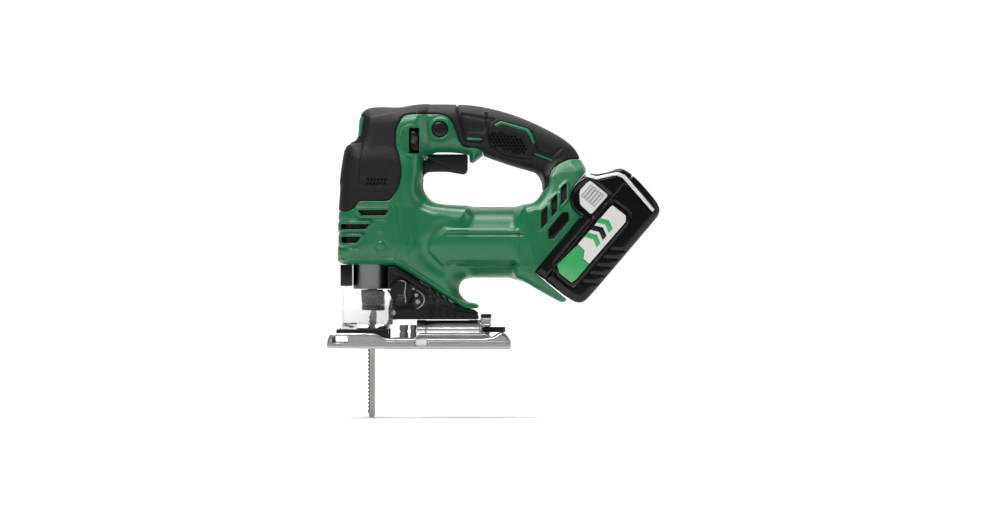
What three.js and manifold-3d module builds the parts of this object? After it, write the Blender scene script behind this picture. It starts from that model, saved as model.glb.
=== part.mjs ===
// Cordless D-handle jigsaw with a slide-on battery pack, in millimetres.
// +X points to the back of the tool, +Y to its right side and +Z up. The origin is the middle of the
// sole plate's underside, where the plate's bevel axis (the X axis) crosses the blade's plane.
import * as THREE from 'three';
import { mergeVertices } from 'three/addons/utils/BufferGeometryUtils.js';
import Module from 'manifold-3d';

const wasm = await Module();
wasm.setup();

// ---------- driving dimensions ----------
const GAP = 0.3; // clearance kept between neighbouring pieces
const WALL = 4.5; // outer skin to cavity of the main housing
const SKIN = 2; // thickness of the soft grip layer
const ROUND = 24; // sides of a round part
const FINE = 32; // sides of a large round part
const FAR = 300; // longer than anything in the tool
const BESIDE = 60; // further out than either side of the tool

const SOLE = { front: -78, back: 77.5, half: 39, thick: 3, wall: 1.8, frontHeight: 13.3, height: 8.5 };
const HEAD_HALF = 31;
const TOP_HALF = 25;
const HANDLE_HALF = 17;
const FOOT_HALF = 35;
const PACK_HALF = 38;
const BARREL = { z: 90.3, halfHeight: 30.3, half: 32, front: -6, back: 92 };

const PLUNGER_X = -41;
const STROKE = 13; // plunger travel either side of rest
const PLUNGER_RADIUS = 4.5;
const BUSH_RADIUS = 7;
const MOTOR_Z = 90;
const SHAFT_RADIUS = 4;
const BEARING_RADIUS = 8;
const STATOR = { front: 42, back: 67.5, radius: 24, bore: 13 };
const MODULE = 1;
const PINION_TEETH = 8;
const GEAR_TEETH = 46;
const GEAR_Z = MOTOR_Z + (MODULE * (PINION_TEETH + GEAR_TEETH)) / 2;
const GEAR_FRONT = -20;
const GEAR_BACK = -13;

// The pack slides along the foot. Places on it are given along the slide (t) and out from it (n).
const SLIDE_ANGLE = (50 * Math.PI) / 180;
const SLIDE_DIRECTION = [Math.cos(SLIDE_ANGLE), Math.sin(SLIDE_ANGLE)];
const FOOT_FACE = 33.4; // n of the foot's sliding face
const LATCH_FACE = 12; // n of the deeper step beside the latches
const PACK_START = 112.3; // t of the pack's lower end
const STEP_START = 175; // t where the deeper step begins
const PACK_SPLIT = 44; // n where the pack's two shells meet

// ---------- colours ----------
const green = () => new THREE.MeshStandardMaterial({ color: 0x2e764e, roughness: 0.45, metalness: 0 });
const black = () => new THREE.MeshStandardMaterial({ color: 0x151617, roughness: 0.35, metalness: 0 });
const soft = () => new THREE.MeshStandardMaterial({ color: 0x2a2b2c, roughness: 0.8, metalness: 0 });
const steel = () => new THREE.MeshStandardMaterial({ color: 0xb4b6b8, roughness: 0.35, metalness: 1 });
const castMetal = () => new THREE.MeshStandardMaterial({ color: 0x8d9092, roughness: 0.55, metalness: 1 });
const bronze = () => new THREE.MeshStandardMaterial({ color: 0xa9824a, roughness: 0.45, metalness: 1 });
const copper = () => new THREE.MeshStandardMaterial({ color: 0xb06a3a, roughness: 0.4, metalness: 1 });
const pale = () => new THREE.MeshStandardMaterial({ color: 0xdcdad8, roughness: 0.5, metalness: 0 });
const clear = () =>
  new THREE.MeshStandardMaterial({ color: 0xe8f0f2, roughness: 0.1, transparent: true, opacity: 0.35 });

// ---------- solids ----------
function toSolid(geometry) {
  const bare = geometry.index ? geometry.clone() : geometry;
  bare.deleteAttribute('normal');
  bare.deleteAttribute('uv');
  const merged = mergeVertices(bare, 1e-4);
  const index = merged.index.array;
  const kept = [];
  for (let i = 0; i < index.length; i += 3) {
    const [a, b, c] = [index[i], index[i + 1], index[i + 2]];
    if (a !== b && b !== c && a !== c) kept.push(a, b, c);
  }
  const vertProperties = new Float32Array(merged.attributes.position.array);
  return new wasm.Manifold(new wasm.Mesh({ numProp: 3, vertProperties, triVerts: new Uint32Array(kept) }));
}

function toGeometry(solid) {
  const mesh = solid.getMesh();
  const geometry = new THREE.BufferGeometry();
  geometry.setAttribute('position', new THREE.BufferAttribute(mesh.vertProperties, 3));
  geometry.setIndex(new THREE.BufferAttribute(mesh.triVerts, 1));
  return geometry;
}

const join = (...solids) => solids.reduce((whole, next) => whole.add(next));
const cut = (solid, ...tools) => tools.reduce((whole, tool) => whole.subtract(tool), solid);

function block(x0, x1, y0, y1, z0, z1) {
  const geometry = new THREE.BoxGeometry(x1 - x0, y1 - y0, z1 - z0);
  return toSolid(geometry.translate((x0 + x1) / 2, (y0 + y1) / 2, (z0 + z1) / 2));
}

function distanceToOutline([x, z], points) {
  return Math.min(...points.map(([ax, az], i) => {
    const [bx, bz] = points[(i + 1) % points.length];
    const along = ((x - ax) * (bx - ax) + (z - az) * (bz - az)) / ((bx - ax) ** 2 + (bz - az) ** 2);
    const t = Math.min(Math.max(along, 0), 1);
    return Math.hypot(x - ax - t * (bx - ax), z - az - t * (bz - az));
  }));
}

// A flat outline moved in by a distance, with mitred corners. Corners that the move swallows are left out.
function insetOutline(points, distance) {
  const area = points.reduce((sum, [x, z], i) => {
    const [nextX, nextZ] = points[(i + 1) % points.length];
    return sum + x * nextZ - nextX * z;
  }, 0);
  const turn = Math.sign(area);
  const normals = points.map(([x, z], i) => {
    const [nextX, nextZ] = points[(i + 1) % points.length];
    const length = Math.hypot(nextX - x, nextZ - z);
    return [(-turn * (nextZ - z)) / length, (turn * (nextX - x)) / length];
  });
  const moved = points.map(([x, z], i) => {
    const [ax, az] = normals[(i + points.length - 1) % points.length];
    const [bx, bz] = normals[i];
    const scale = distance / (1 + ax * bx + az * bz);
    return [x + (ax + bx) * scale, z + (az + bz) * scale];
  });
  return moved.filter((point) => distanceToOutline(point, points) > Math.abs(distance) - 0.01);
}

const shapeOf = (points) => new THREE.Shape(points.map(([a, b]) => new THREE.Vector2(a, b)));

// An outline in the XZ plane, run across from y0 to y1.
function across(points, y0, y1) {
  const geometry = new THREE.ExtrudeGeometry(shapeOf(points), { depth: y1 - y0, bevelEnabled: false });
  return toSolid(geometry.translate(0, 0, -y1).rotateX(Math.PI / 2));
}

// The same, centred on the tool's mid-plane and with rounded edges; inset makes the shape of a cavity.
function rounded(points, half, edge, inset = 0) {
  const geometry = new THREE.ExtrudeGeometry(shapeOf(insetOutline(points, inset + edge)), {
    depth: 2 * (half - inset - edge),
    bevelThickness: edge,
    bevelSize: edge,
    bevelSegments: inset > 0 ? 1 : 2,
  });
  return toSolid(geometry.translate(0, 0, edge - half + inset).rotateX(Math.PI / 2));
}

// An outline in the YZ plane, run from x0 to x1.
function alongX(points, x0, x1) {
  const geometry = new THREE.ExtrudeGeometry(shapeOf(points), { depth: x1 - x0, bevelEnabled: false });
  geometry.applyMatrix4(new THREE.Matrix4().set(0, 0, 1, x0, 1, 0, 0, 0, 0, 1, 0, 0, 0, 0, 0, 1));
  return toSolid(geometry);
}

// An outline in the XY plane, run from z0 to z1.
function upward(points, z0, z1) {
  const geometry = new THREE.ExtrudeGeometry(shapeOf(points), { depth: z1 - z0, bevelEnabled: false });
  return toSolid(geometry.translate(0, 0, z0));
}

function rodX(radius, x0, x1, y, z, sides = ROUND) {
  const geometry = new THREE.CylinderGeometry(radius, radius, x1 - x0, sides).rotateZ(Math.PI / 2);
  return toSolid(geometry.translate((x0 + x1) / 2, y, z));
}

function rodY(radius, y0, y1, x, z, sides = ROUND) {
  const geometry = new THREE.CylinderGeometry(radius, radius, y1 - y0, sides);
  return toSolid(geometry.translate(x, (y0 + y1) / 2, z));
}

function rodZ(radius, z0, z1, x, y, sides = ROUND) {
  const geometry = new THREE.CylinderGeometry(radius, radius, z1 - z0, sides).rotateX(Math.PI / 2);
  return toSolid(geometry.translate(x, y, (z0 + z1) / 2));
}

// Points on a circle, from one angle to another in degrees.
function arc(cx, cy, radius, from, to, steps) {
  return Array.from({ length: steps + 1 }, (_, i) => {
    const angle = THREE.MathUtils.degToRad(from + ((to - from) * i) / steps);
    return [cx + radius * Math.cos(angle), cy + radius * Math.sin(angle)];
  });
}

const onSlide = (t, n) => [
  t * SLIDE_DIRECTION[0] + n * SLIDE_DIRECTION[1],
  t * SLIDE_DIRECTION[1] - n * SLIDE_DIRECTION[0],
];

function slideBlock(t0, t1, n0, n1, y0, y1) {
  return across([onSlide(t0, n0), onSlide(t1, n0), onSlide(t1, n1), onSlide(t0, n1)], y0, y1);
}

const jigsaw = new THREE.Group();
const tool = new THREE.Group(); // everything that tilts on the sole plate
const pack = new THREE.Group(); // everything that slides off with the battery pack
jigsaw.add(tool);
tool.add(pack);

function addPart(group, name, solid, material) {
  const mesh = new THREE.Mesh(toGeometry(solid), material);
  mesh.name = name;
  group.add(mesh);
}

// ---------- sole plate and what tilts the tool on it ----------
const GUARD_HOLE = { front: -62, back: -22, half: 18 };

function solePlate() {
  const side = [
    [SOLE.front + 2, 0], [SOLE.front, 3], [SOLE.front + 1, 8], [SOLE.front + 3, 12],
    [SOLE.front + 6, SOLE.frontHeight], [-40, SOLE.frontHeight], [-36, 12.6], [-29, 9],
    [-25, SOLE.height], [58, SOLE.height], [62, SOLE.height], [70, 14], [SOLE.back - 0.5, 8],
    [SOLE.back, 3], [SOLE.back - 1.5, 0],
  ];
  const tray = block(
    SOLE.front + 3, SOLE.back - 2.5, -SOLE.half + SOLE.wall, SOLE.half - SOLE.wall, SOLE.thick, 40,
  );
  const hole = block(GUARD_HOLE.front, GUARD_HOLE.back, -GUARD_HOLE.half, GUARD_HOLE.half, -5, 10);
  const frontGuideSlot = block(-72, -60, -FAR, FAR, 4.8, 12);
  const middleGuideSlot = block(-3, 6.5, -FAR, FAR, SOLE.thick, 7);
  const body = cut(across(side, -SOLE.half, SOLE.half), tray, hole, frontGuideSlot, middleGuideSlot);
  const frontFloor = block(-74.6, -63, -37, 37, 1.5, SOLE.thick);
  return join(body, frontFloor);
}

function plateLiner() {
  const strip = (side) => block(-70, -26, side * 36.15 - 0.75, side * 36.15 + 0.75, 3.3, 16.5);
  return cut(
    join(strip(-1), strip(1), block(-72, -66, -36.9, 36.9, 3.3, 4.5)),
    block(-72.3, -59.7, -FAR, FAR, 4.5, 12.3),
  );
}

function splinterGuard() {
  const insert = block(GUARD_HOLE.front + GAP, -36, -17.7, 17.7, 0, 2);
  return cut(insert, block(-50, -30, -5, 5, -5, 10));
}

const BRACKET_RADIUS = 24;
const LEVER = { x: 57.3, slotBottom: 13.2, slotTop: 18.3, width: 7 }; // bevel clamp lever, held in the post

function tiltBracket() {
  const shell = (radius, x0, x1) => {
    const foot = THREE.MathUtils.radToDeg(Math.asin((SOLE.thick + GAP) / radius));
    return alongX(arc(0, 0, radius, foot, 180 - foot, 16), x0, x1);
  };
  const hollow = shell(BRACKET_RADIUS - 4, 1, 48);
  const boltHole = rodZ(4.3, 0, 40, 20, 0);
  const post = block(51, 61, -9, 9, SOLE.thick + GAP, 29);
  const leverSlot = block(53, 70, -FAR, FAR, LEVER.slotBottom, LEVER.slotTop);
  const pinHole = rodZ(2 + GAP, 8, 24, LEVER.x, 0);
  const endWall = block(44, 60, -FAR, FAR, 0, 40);
  const body = join(shell(BRACKET_RADIUS, -3, 51.5), post);
  return cut(body, cut(hollow, endWall), boltHole, leverSlot, pinHole);
}

function clampBolt() {
  return join(rodZ(4, 6, 23.5, 20, 0), rodZ(7, 5, 9, 20, 0, 6));
}

function baseLever() {
  const [low, high, half] = [LEVER.slotBottom + GAP, LEVER.slotTop - GAP, LEVER.width / 2];
  const arm = upward([[LEVER.x, -half], [71, -half], [73, 0], [71, half], [LEVER.x, half]], low, high);
  const pin = rodZ(2, 8.5, 23.5, LEVER.x, 0);
  return join(rodZ(4.2, low, high, LEVER.x, 0), pin, arm);
}

addPart(jigsaw, 'sole_plate', solePlate(), steel());
addPart(jigsaw, 'plate_liner', plateLiner(), black());
addPart(jigsaw, 'splinter_guard', splinterGuard(), black());
addPart(jigsaw, 'tilt_bracket', tiltBracket(), castMetal());
addPart(jigsaw, 'clamp_bolt', clampBolt(), steel());
addPart(jigsaw, 'base_lever', baseLever(), black());

// ---------- main housing: outlines of its blended volumes, seen from the side ----------
const HEAD = [
  [-70, 71.5], [-69, 115], [-67.5, 140], [-64.5, 160], [-60, 168], [-20, 168], [1.3, 160], [1.3, 141],
  [6, 130], [13, 124], [44, 121], [44, 60], [36, 57], [33, 49.5], [34, 46], [40, 40], [49.5, 35.5],
  [47, 34], [38, 34.3], [30, 38], [-20, 70.5],
];
const HEAD_TOP = [
  [-67.8, 130], [-64.5, 160], [-61.5, 174], [-52.5, 179], [-51.3, 194], [-46, 203], [-38, 205.8],
  [-15, 204.9], [0, 208], [8, 208], [8, 165.5], [1.3, 165.5], [1.3, 130],
];
const HANDLE = [
  [-14, 205], [0, 208], [36, 208], [50, 206.5], [70, 202], [90, 195], [110, 185.7], [125, 176.8],
  [133, 168.3], [139.8, 152], [140.8, 149.5], [134, 143], [112, 136], [106, 137], [105, 143],
  [100.5, 148.5], [80, 154.5], [60, 161.3], [50, 165.5], [-14, 165.5],
];
const FOOT = [
  [78, 61], [88, 57.5], [100, 50], [110, 44.5], [120, 39.3], [126, 42.5], [150, 80], [134, 116],
  [124, 122], [100, 122], [84, 120.7],
];
const FOOT_TOP = [
  [84, 120.7], [96, 123], [103, 131], [106.2, 138], [105, 143], [103, 150], [130, 160], [140.8, 149.5],
  [150, 130], [140, 100], [100, 98],
];

function barrel(inset) {
  const ring = Array.from({ length: FINE }, (_, i) => {
    const angle = (2 * Math.PI * i) / FINE;
    return [
      (BARREL.half - inset) * Math.cos(angle),
      BARREL.z + (BARREL.halfHeight - inset) * Math.sin(angle),
    ];
  });
  return alongX(ring, BARREL.front + inset, BARREL.back - inset);
}

// The whole outer form, or the same form shrunk evenly for linings and cavities.
function bodyForm(inset) {
  return join(
    rounded(HEAD, HEAD_HALF, 6, inset),
    rounded(HEAD_TOP, TOP_HALF, 7, inset),
    rounded(HANDLE, HANDLE_HALF, 6, inset),
    rounded(FOOT, FOOT_HALF, 5, inset),
    rounded(FOOT_TOP, FOOT_HALF - 8, 6, inset),
    barrel(inset),
  );
}

const packSpace = (gap) =>
  across(
    [
      onSlide(PACK_START + gap, FOOT_FACE + gap), onSlide(STEP_START + gap, FOOT_FACE + gap),
      onSlide(STEP_START + gap, LATCH_FACE + gap), onSlide(260, LATCH_FACE + gap),
      onSlide(260, 140), onSlide(PACK_START + gap, 140),
    ],
    -BESIDE, BESIDE,
  );

// The soft grip covers the front of the head, the top and the handle.
const GRIP_AREA = [
  [-90, 116.5], [-58, 117], [-51, 125.5], [-25, 125.5], [-17, 137.5], [-15.3, 148], [-17, 162],
  [-21, 176], [-19, 189], [-12, 198.5], [18, 199.3], [26, 195], [34, 176], [37.5, 171], [52, 170],
  [54.5, 160], [95, 141], [104, 139], [109, 141], [111, 148], [115, 155], [127, 161], [160, 162],
  [160, 230], [-90, 230],
];

const SCREWS = [
  { name: 'screw_front_lower', x: -59, z: 84, head: 28.5 },
  { name: 'screw_front_upper', x: -57, z: 150, head: 28 },
  { name: 'screw_under_barrel', x: 29, z: 51, head: 28.5 },
  { name: 'screw_rear_barrel', x: 94, z: 111, head: 31 },
  { name: 'screw_handle_middle', x: 70, z: 178, head: 14.5 },
  { name: 'screw_handle_rear', x: 120, z: 167, head: 14.5 },
];

const slantedSlot = (x0, x1, z0, z1, lean) => [[x0, z0], [x1, z0 + lean], [x1, z1], [x0, z1 - lean]];
const VENTS = [
  [[-49, 113], [-29, 113], [-26, 117.5], [-52, 117.5]],
  [[-66, 101.3], [-45.5, 101.3], [-42, 105.5], [-66, 105.5]],
  [[-65, 89.6], [-53, 89.6], [-49.5, 94.9], [-65, 94.9]],
  slantedSlot(103.3, 108.5, 101.5, 121, 5),
  slantedSlot(112, 116.8, 111.5, 131, 5),
  slantedSlot(120.3, 125, 121.5, 140.5, 4),
];

const DIAL = { x0: -8, x1: -1, y: -16.5, z: 176.5, radius: 9.5 };
const LOCK = { x: 17.3, z: 186.5, radius: 6.8 };
const TRIGGER_PIVOT = [5, 162];
const NOSE = { radius: 16.5, bore: 11, bottom: 50.5, floor: 76 };

function housingOpenings() {
  const triggerWell = block(-8, 42.3, -8.5, 8.5, 138, 172);
  const noseHole = rodZ(NOSE.radius + GAP, 60, NOSE.floor + 2, PLUNGER_X + 0.5, 0, FINE);
  const dialSlot = block(DIAL.x0 - 0.5, DIAL.x1 + 0.5, -40, -6, 166, 187);
  const lockHole = rodY(LOCK.radius + GAP, -40, -8, LOCK.x, LOCK.z);
  const terminalHole = slideBlock(117.7, 140.3, 22, 60, -15.3, 15.3);
  const vents = VENTS.flatMap((slot) => [across(slot, -BESIDE, -22), across(slot, 22, BESIDE)]);
  return [triggerWell, noseHole, dialSlot, lockHole, terminalHole, packSpace(0), ...vents];
}

const screwHoles = () =>
  SCREWS.flatMap(({ x, z, head }) => [
    rodY(3.6, head - 3.3, BESIDE, x, z, 12),
    rodY(1.9, -8, head, x, z, 8),
  ]);

const leftHalf = () => block(-FAR, FAR, -FAR, -GAP / 2, -FAR, FAR);
const rightHalf = () => block(-FAR, FAR, GAP / 2, FAR, -FAR, FAR);

function housing() {
  const outer = bodyForm(0);
  const gripSpace = cut(across(GRIP_AREA, -BESIDE, BESIDE), bodyForm(SKIN + GAP));
  const cavity = cut(bodyForm(WALL), packSpace(-WALL));
  const ribAround = (radius, x0, x1) =>
    cut(block(x0, x1, -BESIDE, BESIDE, 60, 121), rodX(radius + GAP, 0, 95, 0, MOTOR_Z, FINE));
  const motorRibs = [39, 68].map((x) => ribAround(STATOR.radius, x, x + 2.5));
  const bearingRib = ribAround(BEARING_RADIUS, 83.5, 87);
  const bosses = SCREWS.map(({ x, z }) => rodY(4.6, -BESIDE, BESIDE, x, z, 12));
  const stiffeners = join(...motorRibs, bearingRib, ...bosses).intersect(bodyForm(WALL - 0.5));
  const rails = [-1, 1].map((side) =>
    slideBlock(118, 166, FOOT_FACE - 4, FOOT_FACE + 4, side * 26 - 1.8, side * 26 + 1.8));
  const shell = cut(outer, gripSpace, cavity);
  return cut(join(cut(join(shell, stiffeners), ...housingOpenings()), ...rails), ...screwHoles());
}

function gripLayer() {
  const skin = cut(bodyForm(0), bodyForm(SKIN));
  const area = across(insetOutline(GRIP_AREA, GAP), -BESIDE, BESIDE);
  return cut(area.intersect(skin), block(-8, 42.6, -8.8, 8.8, 138, 172.3), ...screwHoles());
}

const wholeHousing = housing();
const wholeGrip = gripLayer();
addPart(tool, 'housing_left', wholeHousing.intersect(leftHalf()), green());
addPart(tool, 'housing_right', wholeHousing.intersect(rightHalf()), green());
addPart(tool, 'grip_left', wholeGrip.intersect(leftHalf()), soft());
addPart(tool, 'grip_right', wholeGrip.intersect(rightHalf()), soft());

function housingScrew({ x, z, head }) {
  const recess = cut(rodY(3.2, head - 3, head, x, z, 12), rodY(1.6, head - 1.6, head + 1, x, z, 6));
  return join(recess, rodY(1.5, -6, head - 2, x, z, 8));
}

for (const screw of SCREWS) addPart(tool, screw.name, housingScrew(screw), steel());

// ---------- lower gear cover, front mount and chip cover ----------
const HOLDER_PIVOT = [-22.5, 30.3]; // pin that the blade guide roller's holder swings on
const COVER_SECTION = [
  [-14, 24.5], [14, 24.5], [18, 33], [24, 38], [24, 90], [-24, 90], [-24, 38], [-18, 33],
];

function gearCover() {
  const side = [
    [-22, 24.5], [50, 24.5], [50.3, 29.5], [47, 32.5], [37.6, 33.6], [29.5, 37], [-20.5, 69.4],
    [-22.4, 70.2],
  ];
  const front = across(
    [[-28.5, 50], [-25, 42], [-27, 30], [-27, 24.5], [-20, 24.5], [-20, 50]], -11.8, 11.8);
  const body = across(side, -40, 40).intersect(alongX(COVER_SECTION, -40, 60));
  const rollerSlot = block(-40, -15, -6, 6, 20, 41);
  const pinHole = rodY(2.3, -40, 40, ...HOLDER_PIVOT);
  const inside = block(-8, 46, -11, 11, 28, 90);
  return cut(join(body, front), rollerSlot, pinHole, inside,
    rodZ(NOSE.radius + GAP, 40, 90, PLUNGER_X + 0.5, 0, FINE), block(18, 22, -2, 2, 20, 26));
}

function frontMount() {
  const body = block(-67.5, -57.8, -12, 12, 53, 71.2);
  return cut(body, rodZ(2.8, 50, 58, -62.5, 0, 16), block(-70, -66.3, -9, 9, 55, 63));
}

const lampLens = () => rodZ(2.5, 52.2, 57.7, -62.5, 0, 16);

// Its lower edges are bevelled so that they stay above the sole's liner at full tilt.
function chipCover() {
  const [half, wall, bottom, shoulder, top] = [13.2, 1, 15.3, 20.2, 50.2];
  const sides = [-1, 1].map((side) =>
    across([[-66.5, shoulder], [-23, shoulder], [-23, 48.3], [-60, top], [-66.5, top]],
      Math.min(side * half, side * (half - wall)), Math.max(side * half, side * (half - wall))));
  const front = alongX(
    [[-8.5, bottom], [8.5, bottom], [half, shoulder], [half, top], [-half, top], [-half, shoulder]],
    -67, -65.6);
  const lip = (side) => alongX(
    [
      [side * 8.5, bottom], [side * half, shoulder], [side * half, shoulder + 1.4],
      [side * (half - wall), shoulder + 1.4], [side * 7.6, bottom + 1],
    ],
    -66.5, -53.6);
  return join(front, ...sides, lip(-1), lip(1));
}

addPart(tool, 'gear_cover', gearCover(), black());
addPart(tool, 'front_mount', frontMount(), black());
addPart(tool, 'lamp_lens', lampLens(), clear());
addPart(tool, 'chip_cover', chipCover(), clear());

// ---------- gear case with its bushes ----------
function gearCase() {
  const nose = rodZ(NOSE.radius, NOSE.bottom, NOSE.floor + 1, PLUNGER_X + 0.5, 0, FINE);
  const floor = block(-52, -8, -19, 19, NOSE.floor, NOSE.floor + 4);
  const boss = rodZ(10, NOSE.floor, 92, PLUNGER_X, 0);
  const backPlate = block(-12, -7, -24, 24, NOSE.floor + 3.6, 152);
  const topArm = block(-50, -8, -12, 12, 142.5, 152);
  return cut(
    join(nose, floor, boss, backPlate, topArm),
    rodZ(NOSE.bore, 40, 72, PLUNGER_X, 0),
    rodZ(BUSH_RADIUS + GAP, 70, 100, PLUNGER_X, 0),
    rodZ(BUSH_RADIUS + GAP, 140, 160, PLUNGER_X, 0),
    rodX(BEARING_RADIUS + GAP, -20, 0, 0, MOTOR_Z),
    rodX(SHAFT_RADIUS + GAP, -20, 0, 0, GEAR_Z),
  );
}

const plungerBore = () => rodZ(PLUNGER_RADIUS + GAP, 0, 200, PLUNGER_X, 0);
const shaftBore = () => rodX(SHAFT_RADIUS + GAP, -50, 100, 0, MOTOR_Z);
const bush = (z0, z1) => cut(rodZ(BUSH_RADIUS, z0, z1, PLUNGER_X, 0), plungerBore());
const bearing = (x0, x1) => cut(rodX(BEARING_RADIUS, x0, x1, 0, MOTOR_Z), shaftBore());

addPart(tool, 'gear_case', gearCase(), castMetal());
addPart(tool, 'plunger_bush_lower', bush(76.5, 91.5), bronze());
addPart(tool, 'plunger_bush_upper', bush(143, 151.5), bronze());
addPart(tool, 'dust_seal', bush(72.4, 76.2), soft());
addPart(tool, 'gear_axle', rodX(SHAFT_RADIUS, GEAR_FRONT - 1, -6, 0, GEAR_Z), steel());
addPart(tool, 'motor_bearing_front', bearing(-12, -6), steel());
addPart(tool, 'motor_bearing_rear', bearing(83.2, 87.3), steel());

// ---------- motor ----------
function stator() {
  const slots = Array.from({ length: 6 }, (_, i) => {
    const angle = (Math.PI / 3) * i;
    return rodX(3.2, 30, 80, 17.5 * Math.cos(angle), MOTOR_Z + 17.5 * Math.sin(angle), 8);
  });
  const ring = rodX(STATOR.radius, STATOR.front, STATOR.back, 0, MOTOR_Z, FINE);
  return cut(ring, rodX(STATOR.bore, 30, 80, 0, MOTOR_Z), ...slots);
}

// A spur gear outline with straight-sided teeth, leaving room at the flanks for smooth running.
function toothedOutline(teeth, cy, cz, turned) {
  const pitchRadius = (MODULE * teeth) / 2;
  const pitchAngle = (2 * Math.PI) / teeth;
  const profile = [
    [pitchRadius - 1, -0.95 / pitchRadius], [pitchRadius + 0.7, -0.3 / pitchRadius],
    [pitchRadius + 0.7, 0.3 / pitchRadius], [pitchRadius - 1, 0.95 / pitchRadius],
  ];
  return Array.from({ length: teeth }, (_, i) =>
    profile.map(([radius, offset]) => {
      const angle = (i + turned) * pitchAngle + offset;
      return [cy + radius * Math.sin(angle), cz + radius * Math.cos(angle)];
    })).flat();
}

function motorShaft() {
  const pinion = alongX(toothedOutline(PINION_TEETH, 0, MOTOR_Z, 0), GEAR_FRONT, GEAR_BACK);
  const core = rodX(3, GEAR_FRONT, GEAR_BACK + 1, 0, MOTOR_Z);
  return join(pinion, core, rodX(SHAFT_RADIUS, GEAR_BACK + GAP, 87.5, 0, MOTOR_Z));
}

function driveGear() {
  const halfTooth = 0.5; // turns a gap between teeth towards the pinion's tooth
  const wheel = alongX(toothedOutline(GEAR_TEETH, 0, GEAR_Z, halfTooth), GEAR_FRONT, GEAR_BACK);
  const holes = [60, 120, 180, 240, 300].map((angle) => {
    const turned = THREE.MathUtils.degToRad(angle);
    return rodX(3.5, -30, 0, 14 * Math.cos(turned), GEAR_Z + 14 * Math.sin(turned), 12);
  });
  const axleHole = rodX(SHAFT_RADIUS + GAP, -30, 0, 0, GEAR_Z);
  return cut(wheel, axleHole, rodX(3 + GAP, -30, 0, STROKE, GEAR_Z, 16), ...holes);
}

function fan() {
  const blades = Array.from({ length: 9 }, (_, i) => {
    const geometry = new THREE.BoxGeometry(4.5, 1.4, 17).translate(0, 0, 13.2);
    return toSolid(geometry.rotateX((2 * Math.PI * i) / 9).translate(78.5, 0, MOTOR_Z));
  });
  const hub = join(rodX(8, 76, 82, 0, MOTOR_Z), rodX(22, 80.5, 82, 0, MOTOR_Z, FINE), ...blades);
  return cut(hub, shaftBore());
}

addPart(tool, 'motor_stator', stator(), copper());
addPart(tool, 'rotor_core', cut(rodX(12.5, STATOR.front, STATOR.back, 0, MOTOR_Z), shaftBore()), steel());
addPart(tool, 'motor_shaft', motorShaft(), steel());
addPart(tool, 'motor_fan', fan(), black());
addPart(tool, 'drive_gear', driveGear(), steel());
addPart(tool, 'crank_pin', rodX(3, -30.7, GEAR_BACK, STROKE, GEAR_Z, 16), steel());

// ---------- plunger, blade holder, blade and counterweight ----------
function crosshead() {
  const body = block(-48, -31, -19, 19, GEAR_Z - 8, GEAR_Z + 8);
  const pinSlot = block(-35.5, -20, -16.5, 16.5, GEAR_Z - 3.4, GEAR_Z + 3.4);
  return cut(body, plungerBore(), pinSlot);
}

const BLADE = { thick: 1.3, top: 47, front: -44.6, back: -38.2, tip: -59.4 };

const HOLDER = { radius: 9.5, neck: 7, bottom: 32.3, shoulder: 36.8, top: 50 };

function bladeHolder() {
  const head = rodZ(HOLDER.radius, HOLDER.shoulder, HOLDER.top, PLUNGER_X, 0, FINE);
  const neck = rodZ(HOLDER.neck, HOLDER.bottom, HOLDER.shoulder + 0.2, PLUNGER_X, 0);
  const bladeSlot = block(-46.5, -36.5, -0.95, 0.95, 20, 48);
  return cut(join(head, neck), bladeSlot, rodZ(PLUNGER_RADIUS + GAP, 48.5, 60, PLUNGER_X, 0, 16));
}

function clampCollar() {
  const [low, high] = [HOLDER.bottom, HOLDER.shoulder - GAP];
  const bore = rodZ(HOLDER.neck + GAP, 20, 50, PLUNGER_X, 0);
  const tab = toSolid(new THREE.BoxGeometry(3, 4, high - low).translate(10.1, 0, (low + high) / 2)
    .rotateZ(THREE.MathUtils.degToRad(-47)).translate(PLUNGER_X, 0, 0));
  return cut(join(rodZ(HOLDER.radius, low, high, PLUNGER_X, 0, FINE), tab), bore);
}

function sawBlade() {
  const pitch = 3;
  const teeth = 27;
  const depth = 1.5;
  const start = -56;
  const front = [];
  for (let i = 0; i < teeth; i += 1) {
    const z = start + i * pitch;
    front.push([BLADE.front, z], [BLADE.front + depth, z + 0.9]);
  }
  const outline = [
    ...front, [BLADE.front, start + teeth * pitch], [-44.2, 27], [-44.2, 45.5], [-43, BLADE.top],
    [-39, BLADE.top], [-38, 45.5], [-38, 27], [BLADE.back, 24], [BLADE.back, BLADE.tip + 4],
    [BLADE.back - 1, BLADE.tip], [BLADE.front + 1, BLADE.tip],
  ];
  return across(outline, -BLADE.thick / 2, BLADE.thick / 2);
}

function counterweight() {
  const bar = block(-28, -24, -24, 24, 87, 94);
  return join(bar, block(-28, -24, -24, -17.5, 90, 132), block(-28, -24, 17.5, 24, 90, 132));
}

addPart(tool, 'plunger_rod', rodZ(PLUNGER_RADIUS, 48.8, 158, PLUNGER_X, 0), steel());
addPart(tool, 'crosshead', crosshead(), steel());
addPart(tool, 'blade_holder', bladeHolder(), castMetal());
addPart(tool, 'clamp_collar', clampCollar(), black());
addPart(tool, 'saw_blade', sawBlade(), steel());
addPart(tool, 'counterweight', counterweight(), castMetal());

// ---------- blade guide roller and its holder ----------
const ROLLER = { x: -32.2, z: 13.2, radius: 5.5 };

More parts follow.
